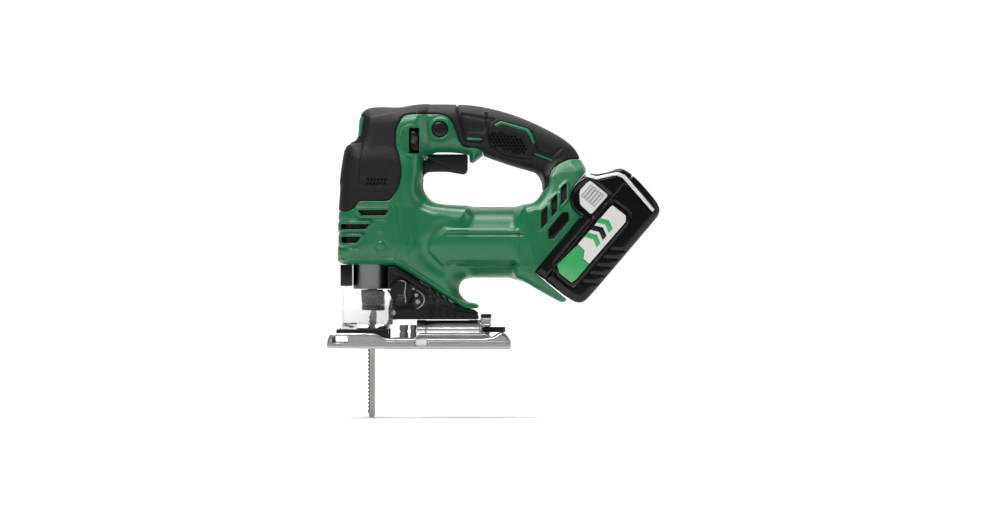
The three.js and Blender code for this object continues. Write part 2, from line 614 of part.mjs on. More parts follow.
function rollerHolder() {
  const arm = (side) => across(
    [[-35.2, 10.8], [-32, 9.5], [-29.5, 10.5], [-19.8, 28.5], [-19.8, 33.5], [-25.4, 33.5], [-25.4, 29]],
    Math.min(side * 4, side * 5.5), Math.max(side * 4, side * 5.5));
  const bridge = across(
    [[-26, 25.2], [-21.6, 25.2], [-19.8, 28.5], [-19.8, 33.5], [-25.4, 33.5]], -5.5, 5.5);
  const bores = [rodY(2.3, -20, 20, ...HOLDER_PIVOT), rodY(1.8, -20, 20, ROLLER.x, ROLLER.z, 12)];
  return cut(join(arm(-1), arm(1), bridge), ...bores);
}

function guideRoller() {
  const wheel = rodY(ROLLER.radius, -3.6, 3.6, ROLLER.x, ROLLER.z);
  return join(wheel, rodY(1.5, -5.4, 5.4, ROLLER.x, ROLLER.z, 12));
}

addPart(tool, 'roller_holder', rollerHolder(), steel());
addPart(tool, 'guide_roller', guideRoller(), steel());
addPart(tool, 'roller_pin', rodY(2, -11.5, 11.5, ...HOLDER_PIVOT), steel());

// ---------- controls ----------
const SELECTOR = [-15.5, 47.5];

function selectorKnob() {
  const disc = rodY(9.5, -27, -24.4, ...SELECTOR, FINE);
  const grip = across(
    [
      [-19.5, 40], [-17.5, 37.4], [-13.5, 37.4], [-11.5, 40], [-11.5, 55], [-13.5, 57.6],
      [-17.5, 57.6], [-19.5, 55],
    ],
    -31.5, -26.5);
  return join(disc, grip);
}

const selectorPlate = () =>
  across([[-5.5, 52], [4.5, 48.5], [6.3, 44], [6.5, 39], [5.5, 35], [-4, 35], [-5.2, 43]], -25.4, -24.4);

function trigger() {
  const outline = [
    [1.4, 141.5], [2.5, 145], [4, 148], [7, 150], [15, 150.5], [25, 150.2], [37, 148], [39.5, 149],
    [40.8, 152], [41, 163], [40, 165.3], [6, 165.3], [1.4, 160],
  ];
  const switchPocket = block(14, 36, -5, 5, 156, 170);
  return cut(across(outline, -8, 8), rodY(1.8, -20, 20, ...TRIGGER_PIVOT, 16), switchPocket);
}

const triggerSwitch = () => join(block(10, 38, -7.3, 7.3, 176, 194), rodZ(2, 171, 177, 30, 0, 12));

function lockButton() {
  const cap = rodY(LOCK.radius, -18.3, -12, LOCK.x, LOCK.z);
  return join(cap, rodY(3, -13, -11, LOCK.x, LOCK.z, 16));
}

function speedDial() {
  const grooves = Array.from({ length: 14 }, (_, i) => {
    const angle = (2 * Math.PI * i) / 14;
    const y = DIAL.y + DIAL.radius * Math.cos(angle);
    return rodX(0.7, DIAL.x0 - 1, DIAL.x1 + 1, y, DIAL.z + DIAL.radius * Math.sin(angle), 6);
  });
  const wheel = cut(rodX(DIAL.radius, DIAL.x0, DIAL.x1, DIAL.y, DIAL.z, FINE), ...grooves);
  return cut(wheel, rodX(1.8, -20, 0, DIAL.y, DIAL.z, 12));
}

// The dial's control box, with the spindle that the dial turns on.
const speedControl = () =>
  join(block(-20, -9.8, -19, -12, 171, 182), rodX(1.5, -10, DIAL.x1, DIAL.y, DIAL.z, 12));

function controllerCase() {
  const fins = Array.from({ length: 5 }, (_, i) => {
    const start = 134 + i * 6.5;
    return slideBlock(start, start + 2.5, 8.5, 12, -18, 18);
  });
  return join(slideBlock(132, 166, 11, 26, -20, 20), ...fins);
}

function terminalBlock() {
  const blades = [-9, -3, 3, 9].map((y) => slideBlock(119, 134, 36, 40, y - 0.6, y + 0.6));
  return join(slideBlock(118, 140, 26.5, 36.5, -15, 15), ...blades);
}

addPart(tool, 'orbital_selector', selectorKnob(), black());
addPart(tool, 'selector_plate', selectorPlate(), black());
addPart(tool, 'trigger', trigger(), black());
addPart(tool, 'trigger_pin', rodY(1.5, -11, 11, ...TRIGGER_PIVOT, 16), steel());
addPart(tool, 'trigger_switch', triggerSwitch(), black());
addPart(tool, 'lock_button', lockButton(), black());
addPart(tool, 'speed_dial', speedDial(), black());
addPart(tool, 'speed_control', speedControl(), black());
addPart(tool, 'controller_case', controllerCase(), castMetal());
addPart(tool, 'terminal_block', terminalBlock(), black());

// ---------- battery pack ----------
const PACK_OUTLINE = [
  [122, 46], [130, 40.8], [136, 38.9], [142, 42], [202, 112], [203.5, 118], [201, 124], [190, 138.5],
  [176, 150.5], [170, 153], [157, 148.5], [141.3, 149], [128, 141], [110, 130], [80, 75], [97.9, 64.9],
];
const LATCH = [[144.5, 142], [160, 130], [145.5, 114], [136, 122], [135.8, 133]];
const PACK_WALL = 2.8;

function packShell() {
  const outer = rounded(PACK_OUTLINE, PACK_HALF, 5).intersect(packSpace(GAP));
  const cavity = rounded(PACK_OUTLINE, PACK_HALF, 5, PACK_WALL).intersect(packSpace(GAP + PACK_WALL));
  const railSlots = [-1, 1].map((side) => slideBlock(100, 168, 30, 38.2, side * 26 - 2.4, side * 26 + 2.4));
  const terminalSlot = slideBlock(100, 142.5, 30, 40.6, -17, 17);
  const latchHole = insetOutline(LATCH, -GAP);
  const latchHoles = [across(latchHole, -BESIDE, -33), across(latchHole, 33, BESIDE)];
  return cut(outer, cavity, ...railSlots, terminalSlot, ...latchHoles);
}

function cellPack() {
  const rows = [50.3, 68.8];
  const cells = rows.flatMap((n) =>
    Array.from({ length: 5 }, (_, i) => rodY(9.1, -30.5, 30.5, ...onSlide(131 + 19 * i, n), 14)));
  const frame = (y) => slideBlock(125, 212, 45, 75, y - 1.5, y + 1.5);
  return join(frame(-26), frame(26), slideBlock(127, 211, 58.5, 61.7, -26, 26), ...cells);
}

function packTerminals() {
  const contacts = [-9, -3, 3, 9].map((y) => slideBlock(143.5, 150, 36.5, 40.8, y - 1.2, y + 1.2));
  return join(slideBlock(148, 152, 36.9, 40.8, -13, 13), ...contacts);
}

const latch = (y0, y1) => across(LATCH, y0, y1);

const wholePack = packShell();
const packLid = slideBlock(0, 300, -50, PACK_SPLIT - GAP / 2, -BESIDE, BESIDE);
const packTray = slideBlock(0, 300, PACK_SPLIT + GAP / 2, 200, -BESIDE, BESIDE);
addPart(pack, 'battery_cover', wholePack.intersect(packLid), black());
addPart(pack, 'battery_case', wholePack.intersect(packTray), black());
addPart(pack, 'cell_pack', cellPack(), copper());
addPart(pack, 'battery_board', slideBlock(154, 214, 38, 40.4, -24, 24), green());
addPart(pack, 'battery_terminals', packTerminals(), steel());
addPart(pack, 'latch_left', latch(-37.8, -33.2), pale());
addPart(pack, 'latch_right', latch(33.2, 37.8), pale());

export default jigsaw;
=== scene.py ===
"""Looks of a cordless D-handle jigsaw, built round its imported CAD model. Outlines are in the shared
frame in millimetres, seen from the side (x, z); pieces are made in metres."""

import functools
import math

import bmesh
import bpy
import numpy as np
from mathutils import Matrix, Vector


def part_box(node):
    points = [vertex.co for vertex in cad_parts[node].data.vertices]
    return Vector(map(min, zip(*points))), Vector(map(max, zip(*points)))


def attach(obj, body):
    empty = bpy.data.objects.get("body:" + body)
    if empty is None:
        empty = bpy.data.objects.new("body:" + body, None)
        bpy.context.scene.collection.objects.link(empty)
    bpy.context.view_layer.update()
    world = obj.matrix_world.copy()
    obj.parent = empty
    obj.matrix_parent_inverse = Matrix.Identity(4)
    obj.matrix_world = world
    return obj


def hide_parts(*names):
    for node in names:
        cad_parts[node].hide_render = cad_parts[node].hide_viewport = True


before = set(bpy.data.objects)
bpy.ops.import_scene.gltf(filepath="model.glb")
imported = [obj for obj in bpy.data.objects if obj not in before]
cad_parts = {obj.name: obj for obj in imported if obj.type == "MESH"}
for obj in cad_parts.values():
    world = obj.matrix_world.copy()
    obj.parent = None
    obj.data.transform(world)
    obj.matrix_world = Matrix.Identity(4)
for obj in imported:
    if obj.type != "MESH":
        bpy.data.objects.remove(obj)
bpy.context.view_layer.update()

MM = 0.001
SEAM = 0.15  # each half shell stops this far from the mid-plane
SHELL = 2.8  # thickness of the moulded shells
SKIN = 2.6  # thickness of the soft grip
PART_LINE = 0.12  # gap on each side of the line where two moulded materials meet
LEFT, RIGHT = -1, 1
SIDE_WORD = {LEFT: "left", RIGHT: "right"}

PLUNGER_X = -41.0
MOTOR_Z = 90.3
PACK_ANGLE = math.radians(50)  # slope of the slide that the battery pack runs on
SLIDE = (math.cos(PACK_ANGLE), math.sin(PACK_ANGLE))
FOOT_FACE = 33.4  # distance out to the face that the pack slides on
LATCH_FACE = 12.0  # distance out to the face behind the latches


def on_slide(t, n):
    """A place on the pack: t along its slide, n out from it."""
    return (t * SLIDE[0] + n * SLIDE[1], t * SLIDE[1] - n * SLIDE[0])


# ---------- outlines ----------
def rounded_off(points, rounds=2, closed=True):
    """Cuts each corner of an outline, so that it reads as a smooth curve."""
    for _ in range(rounds):
        pairs = list(zip(points, points[1:] + points[:1])) if closed else list(zip(points, points[1:]))
        cut = []
        for (ax, az), (bx, bz) in pairs:
            cut.append((0.75 * ax + 0.25 * bx, 0.75 * az + 0.25 * bz))
            cut.append((0.25 * ax + 0.75 * bx, 0.25 * az + 0.75 * bz))
        points = cut if closed else [points[0]] + cut + [points[-1]]
    return points


def filleted(points, radius):
    """An outline with each corner turned into a curve that starts at most a radius away from it."""
    curve = []
    for before, corner, after in zip(points[-1:] + points[:-1], points, points[1:] + points[:1]):
        ends = []
        for other in (before, after):
            length = math.dist(corner, other)
            share = min(radius, 0.45 * length) / length
            ends.append([c + (o - c) * share for c, o in zip(corner, other)])
        for i in range(5):
            t = i / 4
            curve.append(tuple((1 - t) ** 2 * a + 2 * t * (1 - t) * c + t * t * b
                               for a, c, b in zip(ends[0], corner, ends[1])))
    return curve


def box_outline(x0, x1, z0, z1):
    return [(x0, z0), (x1, z0), (x1, z1), (x0, z1)]


HEAD = rounded_off([
    (-70, 71.5), (-69.5, 90), (-69, 115), (-67.3, 140), (-64.5, 160), (-61, 172), (-30, 176), (-10, 170),
    (1.3, 162), (1.3, 141), (5, 130), (13, 123.5), (30, 121.5), (46, 121), (46, 90), (44, 62), (36, 58),
    (33, 51), (34, 46), (40, 39.5), (50, 36), (47, 34), (38, 34), (28, 39), (-20, 70.5), (-45, 71),
])
HEAD_TOP = rounded_off([
    (-67.5, 130), (-64.5, 160), (-61.8, 174), (-55, 176), (-52, 181), (-51.6, 194), (-49, 202),
    (-40, 206), (-15, 204.9), (0, 208.2), (12, 208), (12, 166), (1.3, 165), (1.3, 130),
])
HANDLE = rounded_off([
    (-20, 205), (0, 208.2), (36, 208), (50, 206.6), (70, 202.3), (90, 195.4), (110, 186), (125, 177.2),
    (134, 168.5), (138.5, 157), (141, 149.5), (134, 143), (118, 134), (107, 134), (106, 142), (101, 148.6),
    (92, 151.5), (80, 154.7), (60, 161.5), (54, 164), (50, 161), (46, 157.5), (42.5, 158), (41.5, 165.5),
    (-14, 165.5),
])
FOOT = rounded_off([
    (78, 61), (88, 57.5), (100, 50), (110, 44.5), (118, 40), (122, 38.6), (126.4, 42), (150, 80), (152, 130),
    (141, 149.5), (138, 156), (125, 162), (103, 150), (105, 144), (106.4, 138), (103, 130), (96, 122.6),
    (84, 120.7),
])
GRIP_AREA = filleted([
    (-90, 116.5), (-58, 116.8), (-51, 125.5), (-25, 125.5), (-18, 136), (-15.2, 148), (-17, 162),
    (-20.5, 172), (-20.5, 186), (-14, 198), (-6, 199.3), (18, 199.3), (26, 196), (31, 185), (34.5, 174),
    (40, 170.8), (52, 170.6), (54.5, 164), (54.5, 150), (95, 136), (104, 134.5), (108, 134.5),
    (111, 147), (116, 156), (127, 161), (160, 162), (160, 230), (-90, 230),
], 3.5)
PACK_SPACE = [
    on_slide(112.3, FOOT_FACE), on_slide(175.6, FOOT_FACE), on_slide(174, 28), on_slide(175, 22),
    on_slide(179, 16.5), on_slide(185, 13), on_slide(192, LATCH_FACE), on_slide(260, LATCH_FACE),
    on_slide(260, 140), on_slide(112.3, 140),
]
TRIGGER_WELL = box_outline(-8, 42.3, 138, 172)

VENT_A = [(-49, 113), (-29, 113), (-26, 117.5), (-52, 117.5)]
VENT_B = [(-66.5, 101.3), (-45.5, 101.3), (-42, 105.5), (-66.5, 105.5)]
VENT_C = [(-66, 89.6), (-53, 89.6), (-49.5, 94.9), (-66, 94.9)]
FOOT_VENTS = [
    [(103.3, 101.5), (108.5, 107), (108.5, 121), (103.3, 116)],
    [(112, 111.5), (116.8, 117), (116.8, 131), (112, 126)],
    [(120.3, 121.5), (125, 127), (125, 140.5), (120.3, 136)],
]
BADGE = [(109.5, 93), (109.5, 101), (121.5, 115.5), (126.5, 115.5), (126.5, 108), (113.5, 93)]
BARREL_PLATEAU = filleted([(8, 88), (8, 82), (20, 70), (24, 74.5), (84, 74.5), (84, 101.5), (22, 101.5)], 2)
LOWER_LIP = [(-72, 74), (-19.5, 74), (31, 40.5), (39, 36.4), (50, 36.4)]
HEAD_PANEL = filleted([
    (-50.5, 137), (-50.5, 157), (-47.5, 175), (-43.5, 196), (-20, 201), (-14, 190), (-14, 165), (-12, 142),
    (-22, 136.5),
], 4)
HANDLE_PANEL = [(35.5, 200), (37.5, 191), (40.5, 184), (54, 183.4), (58, 188), (65, 195)]
DOTTED_PANEL = filleted([(58, 184), (64, 187), (89, 180.5), (93, 170), (91, 163), (76, 165), (60, 171)], 3)
INLAYS = [
    [(64.5, 187.6), (69.5, 190.6), (90.5, 184.2), (93, 181), (96, 173.6), (98.6, 174.6), (95.4, 183),
     (92.6, 186.8), (69, 193.6), (63.2, 190.4)],
    [(40, 177), (53, 176.6), (53, 179.2), (40, 179.4)],
    [(97, 164.6), (113, 158.6), (113.6, 160.6), (97.6, 166.6)],
    [(-53.4, 181), (-49.4, 181), (-47.2, 196.5), (-50.6, 197.5), (-53.4, 192)],
]
DIAL_CENTRE = (-7.7, 176.3)
LOCK_CENTRE = (17.3, 186.5)
SCREWS = [(-59, 84), (-57, 150), (29, 51), (94, 111), (70, 178), (120, 167)]


# ---------- volume modelling ----------
class Grid:
    """A block of sample points. Fields over it are distances in millimetres, negative inside."""

    def __init__(self, low, high, step):
        self.axes = [np.arange(a, b + step, step, dtype=np.float32) for a, b in zip(low, high)]
        self.x = self.axes[0][:, None, None]
        self.y = self.axes[1][None, :, None]
        self.z = self.axes[2][None, None, :]

    def inside(self, points):
        """Signed distance to a closed outline in the side view."""
        distance = self.to_line(points + points[:1])
        within = np.zeros(distance.shape, bool)
        for (ax, az), (bx, bz) in zip(points, points[1:] + points[:1]):
            if az != bz:
                crossing = (bx - ax) * (self.z - az) / (bz - az) + ax
                within ^= ((az > self.z) != (bz > self.z)) & (self.x < crossing)
        return np.where(within, -distance, distance)

    def to_line(self, points):
        """Distance to an open line in the side view."""
        best = np.full((len(self.axes[0]), 1, len(self.axes[2])), 1e12, np.float32)
        for (ax, az), (bx, bz) in zip(points, points[1:]):
            dx, dz = bx - ax, bz - az
            along = np.clip(((self.x - ax) * dx + (self.z - az) * dz) / (dx * dx + dz * dz + 1e-9), 0, 1)
            best = np.minimum(best, (self.x - ax - along * dx) ** 2 + (self.z - az - along * dz) ** 2)
        return np.sqrt(best)

    def to_point(self, x, z):
        return np.sqrt((self.x - x) ** 2 + (self.z - z) ** 2)

    def slab(self, outline, half, edge):
        """An outline run across the tool to a half-width on both sides, with edges of a given radius."""
        a = self.inside(outline) + edge
        b = np.abs(self.y) - half + edge
        return np.minimum(np.maximum(a, b), 0) + np.hypot(np.maximum(a, 0), np.maximum(b, 0)) - edge


def common(*fields):
    """Where all the fields overlap."""
    return functools.reduce(np.maximum, fields)


def smooth_union(a, b, radius):
    h = np.clip(0.5 + 0.5 * (b - a) / radius, 0, 1)
    return b + (a - b) * h - radius * h * (1 - h)


def step_down(field, width=0.8):
    """1 well inside an outline, 0 outside, with a soft edge."""
    return np.clip(0.5 - field / width, 0, 1)


def groove(distance, width):
    """1 on a line, falling to 0 at half its width."""
    return np.clip(1.4 * (1 - 2 * distance / width), 0, 1)


def hollow(distance, depth, width):
    """A soft valley along a line."""
    return depth * np.exp(-((distance / width) ** 2))


EDGES = [(a, b) for a in range(8) for b in range(8) if a < b and (a ^ b) in (1, 2, 4)]


def net_surface(grid, field):
    """The zero surface of a field as vertices and quads."""
    nx, ny, nz = field.shape
    negative = field < 0
    offsets = np.array([(i, j, k) for i in (0, 1) for j in (0, 1) for k in (0, 1)])
    parts = [negative[i:nx - 1 + i, j:ny - 1 + j, k:nz - 1 + k] for i, j, k in offsets]
    total = sum(part.astype(np.int8) for part in parts)
    cells = np.argwhere((total > 0) & (total < 8))
    values = np.stack([field[tuple((cells + offset).T)] for offset in offsets], 1)
    place = np.zeros((len(cells), 3))
    count = np.zeros(len(cells))
    for a, b in EDGES:
        crossed = (values[:, a] < 0) != (values[:, b] < 0)
        span = np.where(crossed, values[:, a] - values[:, b], 1)
        share = np.where(crossed, values[:, a] / span, 0)
        place += np.where(crossed[:, None], offsets[a] + share[:, None] * (offsets[b] - offsets[a]), 0)
        count += crossed
    vertices = cells + place / count[:, None]
    numbers = np.full((nx - 1, ny - 1, nz - 1), -1, np.int32)
    numbers[tuple(cells.T)] = np.arange(len(cells))
    quads = []
    for axis in range(3):
        one, two = [(1, 2), (2, 0), (0, 1)][axis]
        low = [slice(1, -1)] * 3
        low[axis] = slice(0, -1)
        high = list(low)
        high[axis] = slice(1, None)
        here, there = negative[tuple(low)], negative[tuple(high)]
        for leaving in (True, False):
            edge = np.argwhere((here != there) & (here == leaving))
            for other in (one, two):
                edge[:, other] += 1
            corners = []
            for i, j in ((-1, -1), (0, -1), (0, 0), (-1, 0)):
                cell = edge.copy()
                cell[:, one] += i
                cell[:, two] += j
                corners.append(numbers[tuple(cell.T)])
            quads.append(np.stack(corners if leaving else corners[::-1], 1))
    spacing = np.array([axis[1] - axis[0] for axis in grid.axes])
    origin = np.array([axis[0] for axis in grid.axes])
    return vertices * spacing + origin, np.concatenate(quads)


def relaxed(vertices, quads, passes):
    """Moves each vertex towards the mean of its neighbours, to calm the sampling."""
    ends = np.concatenate([quads[:, [i, (i + 1) % 4]] for i in range(4)])
    count = sum(np.bincount(ends[:, i], minlength=len(vertices)) for i in (0, 1))
    for _ in range(passes):
        mean = np.empty_like(vertices)
        for axis in range(3):
            total = np.bincount(ends[:, 0], vertices[ends[:, 1], axis], len(vertices))
            total += np.bincount(ends[:, 1], vertices[ends[:, 0], axis], len(vertices))
            mean[:, axis] = total / count
        vertices = 0.5 * vertices + 0.5 * mean
    return vertices


def moulded(name, grid, field, body, nodes, material, passes=2):
    """A piece made from a field, riding on a body and standing for CAD nodes."""
    vertices, quads = net_surface(grid, field)
    vertices = relaxed(vertices, quads, passes) * MM
    mesh = bpy.data.meshes.new(name)
    mesh.vertices.add(len(vertices))
    mesh.vertices.foreach_set("co", vertices.astype(np.float32).ravel())
    mesh.loops.add(quads.size)
    mesh.loops.foreach_set("vertex_index", quads.astype(np.int32).ravel())
    mesh.polygons.add(len(quads))
    mesh.polygons.foreach_set("loop_start", np.arange(0, quads.size, 4, dtype=np.int32))
    mesh.update(calc_edges=True)
    mesh.validate()
    mesh.shade_smooth()
    return placed(name, mesh, body, nodes, material)


def placed(name, mesh, body, nodes, material):
    piece = bpy.data.objects.new(name, mesh)
    bpy.context.scene.collection.objects.link(piece)
    mesh.materials.append(material)
    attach(piece, body)
    if nodes:
        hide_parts(*nodes)
    return piece


# ---------- materials ----------
def surface(name, colour, roughness, metallic=0.0, coat=0.0, mottled=0.06, grain=(900.0, 0.08), stretch=None,
            rough_spread=0.1, cells=None, transmission=0.0, specular=0.5):
    """A procedural finish: slightly uneven colour and roughness, and a fine grain in its relief."""
    material = bpy.data.materials.new(name)
    material.use_nodes = True
    tree = material.node_tree
    shader = tree.nodes["Principled BSDF"]
    shader.inputs["Metallic"].default_value = metallic
    shader.inputs["Specular IOR Level"].default_value = specular
    shader.inputs["Coat Weight"].default_value = coat
    shader.inputs["Coat Roughness"].default_value = 0.12
    shader.inputs["Transmission Weight"].default_value = transmission
    place = tree.nodes.new("ShaderNodeTexCoord")
    mapping = tree.nodes.new("ShaderNodeMapping")
    mapping.inputs["Scale"].default_value = stretch or (1, 1, 1)
    tree.links.new(place.outputs["Object"], mapping.inputs["Vector"])

    def noise(scale, detail):
        node = tree.nodes.new("ShaderNodeTexNoise")
        node.inputs["Scale"].default_value = scale
        node.inputs["Detail"].default_value = detail
        tree.links.new(mapping.outputs["Vector"], node.inputs["Vector"])
        return node.outputs["Fac"]

    broad = noise(38.0, 3.0)
    fine = noise(grain[0], 2.0)
    ramp = tree.nodes.new("ShaderNodeValToRGB")
    ramp.color_ramp.elements[0].position = 0.3
    ramp.color_ramp.elements[1].position = 0.7
    ramp.color_ramp.elements[0].color = (*[c * (1 - mottled) for c in colour], 1)
    ramp.color_ramp.elements[1].color = (*[min(1, c * (1 + mottled)) for c in colour], 1)
    tree.links.new(broad, ramp.inputs["Fac"])
    tree.links.new(ramp.outputs["Color"], shader.inputs["Base Color"])
    spread = tree.nodes.new("ShaderNodeMapRange")
    spread.inputs["To Min"].default_value = max(0.02, roughness - rough_spread)
    spread.inputs["To Max"].default_value = min(1, roughness + rough_spread)
    tree.links.new(fine, spread.inputs["Value"])
    tree.links.new(spread.outputs["Result"], shader.inputs["Roughness"])
    height = fine
    if cells:
        pebble = tree.nodes.new("ShaderNodeTexVoronoi")
        pebble.inputs["Scale"].default_value = cells
        tree.links.new(mapping.outputs["Vector"], pebble.inputs["Vector"])
        height = pebble.outputs["Distance"]
    bump = tree.nodes.new("ShaderNodeBump")
    bump.inputs["Strength"].default_value = grain[1]
    bump.inputs["Distance"].default_value = 0.0004
    tree.links.new(height, bump.inputs["Height"])
    tree.links.new(bump.outputs["Normal"], shader.inputs["Normal"])
    return material


GREEN = surface("green_nylon", (0.003, 0.104, 0.039), 0.36, grain=(1400, 0.10), specular=0.45)
SOFT = surface("soft_elastomer", (0.005, 0.0052, 0.0056), 0.5, grain=(900, 0.55), cells=1100, mottled=0.12,
               specular=0.2)
BLACK = surface("black_nylon", (0.005, 0.0052, 0.0058), 0.36, grain=(1100, 0.18), specular=0.26)
GLOSS = surface("polished_black", (0.003, 0.003, 0.0034), 0.2, grain=(500, 0.03), rough_spread=0.06,
                specular=0.24)
# mid-grey that paints the shade of the recessed grip on the battery latch
LATCH_SHADE_GREY = surface("painted_latch_shade", (0.26, 0.255, 0.25), 0.45, grain=(1200, 0.1), mottled=0.04)
PALE = surface("light_grey_plastic", (0.50, 0.49, 0.48), 0.4, grain=(1200, 0.08), mottled=0.03)
LABEL_GREEN = surface("label_green", (0.03, 0.27, 0.08), 0.3, coat=0.3, grain=(600, 0.03), mottled=0.04)
STEEL = surface("turned_steel", (0.5, 0.5, 0.51), 0.24, metallic=1, grain=(700, 0.06), mottled=0.1)
BRUSHED = surface("brushed_sole_steel", (0.37, 0.375, 0.38), 0.33, metallic=1, stretch=(0.05, 1, 1),
                  grain=(2600, 0.2), mottled=0.16, rough_spread=0.14)
BLADE_STEEL = surface("ground_blade_steel", (0.42, 0.41, 0.39), 0.36, metallic=1, stretch=(1, 1, 0.06),
                      grain=(2400, 0.2), mottled=0.2)
CAST = surface("cast_alloy", (0.11, 0.112, 0.115), 0.32, metallic=1, grain=(800, 0.4), mottled=0.15)
BRACKET = surface("sintered_bracket", (0.40, 0.40, 0.405), 0.42, metallic=0.8, grain=(1000, 0.5),
                  mottled=0.25)
DARK_STEEL = surface("blackened_steel", (0.022, 0.022, 0.024), 0.26, metallic=0.9, grain=(900, 0.15),
                     mottled=0.15)
BRONZE = surface("sintered_bronze", (0.42, 0.27, 0.12), 0.45, metallic=1, grain=(1600, 0.3), mottled=0.12)
COPPER = surface("wound_copper", (0.55, 0.24, 0.12), 0.38, metallic=1, grain=(900, 0.4))
CELLS = surface("sleeved_cells", (0.10, 0.20, 0.42), 0.35, grain=(500, 0.05), mottled=0.05)
BOARD = surface("circuit_board", (0.02, 0.10, 0.04), 0.4, grain=(700, 0.1), mottled=0.2)
# near-black colour that paints the shade in the blade's gullets
GULLET_SHADE = surface("painted_gullet_shade", (0.012, 0.012, 0.012), 0.6, grain=(900, 0.2), specular=0.2)
CLEAR = surface("clear_polycarbonate", (0.86, 0.87, 0.87), 0.06, grain=(120, 0.02), mottled=0.01,
                rough_spread=0.03, transmission=0.98, specular=0.25)


# ---------- housing ----------
BODY_LOW, BODY_HIGH = (-72.6, -37.6, 32.0), (143.4, 1.4, 210.6)
BODY_STEP = 0.65


def body_field(grid):
    """The outer form of the moulded housing, its volumes blended into each other."""
    head_half = 31.2 - 4.5 * np.clip((grid.z - 140) / 50, 0, 1) - 2.5 * np.clip((88 - grid.z) / 20, 0, 1)
    head = grid.slab(HEAD, head_half, 15)
    top_half = np.interp(grid.x, [-2, 14], [26.5, 17.6]) - 4 * np.clip((grid.z - 175) / 30, 0, 1)
    top = grid.slab(HEAD_TOP, top_half, 15)
    handle = grid.slab(HANDLE, 17.4, 15)
    foot = grid.slab(FOOT, np.interp(grid.z, [40, 70, 118, 150, 162], [33, 35, 34, 25, 19]), 9)
    across = np.sqrt((grid.y / 32.0) ** 2 + ((grid.z - MOTOR_Z) / 30.4) ** 2)
    barrel = np.maximum((across - 1) * 30.6, np.abs(grid.x - 42) - 50)
    form = smooth_union(head, top, 6)
    form = smooth_union(form, handle, np.interp(grid.z, [165, 195], [8, 1.5]))
    form = smooth_union(form, barrel, 4)
    form = smooth_union(form, foot, 7)
    waist = hollow(grid.to_line([(5, 134), (-2, 118), (-1, 96), (5, 76), (20, 60), (34, 52)]), 4.0, 10)
    arrow = hollow(grid.to_line([(20, 106), (4, 88), (4, 82), (18, 67)]), 1.4, 4.5)
    sides = np.clip((np.abs(grid.y) - 12) / 10, 0, 1)
    return form + (waist + arrow) * sides


def green_relief(grid, side):
    """How far the green surface is sunk (positive) or raised (negative) by its ribs, pads and pockets."""
    relief = -1.4 * step_down(grid.to_line(LOWER_LIP) - 2.3, 1.0)
    for vent in (VENT_A, VENT_B, VENT_C):
        away = grid.inside(vent)
        relief = relief - 1.3 * step_down(away - 2.6, 1.0) + 0.6 * groove(np.abs(away - 3.8), 2.0)
    relief = relief - 1.3 * step_down(grid.inside(BARREL_PLATEAU), 1.1)
    relief = relief + 1.5 * groove(grid.to_line([(24, 96.8), (88, 96.8)]), 2.4)
    relief = relief + 1.2 * groove(grid.to_line([(24, 71.6), (84, 71.6)]), 2.6)
    boss = grid.to_point(-32.3, 87)
    relief = relief + 1.2 * step_down(boss - 5.3) - 1.0 * step_down(boss - 3.7)
    relief = relief - 0.5 * step_down(grid.inside(box_outline(-36, -31, 98.5, 104)), 1.0)
    relief = relief + 0.7 * groove(grid.to_line([(-66, 85), (-50, 85)]), 2.0)
    relief = relief + 0.8 * groove(grid.to_line([(-19, 76), (-16, 100), (-19, 122)]), 2.4)
    for vent in FOOT_VENTS:
        relief = relief - 0.7 * step_down(grid.inside(vent) - 1.9)
    relief = relief + 1.5 * step_down(grid.inside(BADGE) - 0.3)
    if side == LEFT:
        oval = np.sqrt(((grid.x - DIAL_CENTRE[0]) / 7.6) ** 2 + ((grid.z - DIAL_CENTRE[1]) / 11.4) ** 2) - 1
        relief = relief + 1.8 * step_down(oval * 8, 2.2) - 0.6 * groove(np.abs(oval * 8 - 0.8), 2.0)
        ring = grid.to_point(*LOCK_CENTRE)
        relief = relief - 1.0 * step_down(ring - 9.6) + 0.7 * groove(np.abs(ring - 10.6), 1.8)
    return relief


PIP_RECESS = 1.1
DEEPEST_GROOVE = 1.8  # the soft skin must never be cut through


def grip_relief(grid):
    """Relief of the soft grip: the head panel with its slots, the handle panel and the dotted field."""
    relief = -1.2 * step_down(grid.inside(HEAD_PANEL), 1.4)
    relief = relief + 1.2 * step_down(grid.inside(HANDLE_PANEL), 0.9)
    relief = relief - 0.7 * step_down(grid.inside(HANDLE_PANEL) + 2.4, 0.9)
    seam_line = [(32, 210), (32.3, 200), (35.5, 190), (38, 180), (40, 175.4), (54, 175)]
    relief = relief + 1.7 * groove(grid.to_line(seam_line), 2.3)
    rear_line = [(96, 184), (99.5, 172), (102, 168), (113, 163), (120, 170)]
    side_line = [(57, 200), (58, 188), (61, 172), (72, 164), (94, 160)]
    for line in (rear_line, side_line):
        relief = relief + 1.3 * groove(grid.to_line(line), 2.2)
    relief = relief + 0.8 * groove(grid.to_line([(-63, 173.5), (-50, 175)]), 2.0)
    relief = relief + PIP_RECESS * step_down(grid.inside(DOTTED_PANEL), 0.9)
    return np.minimum(relief, DEEPEST_GROOVE)


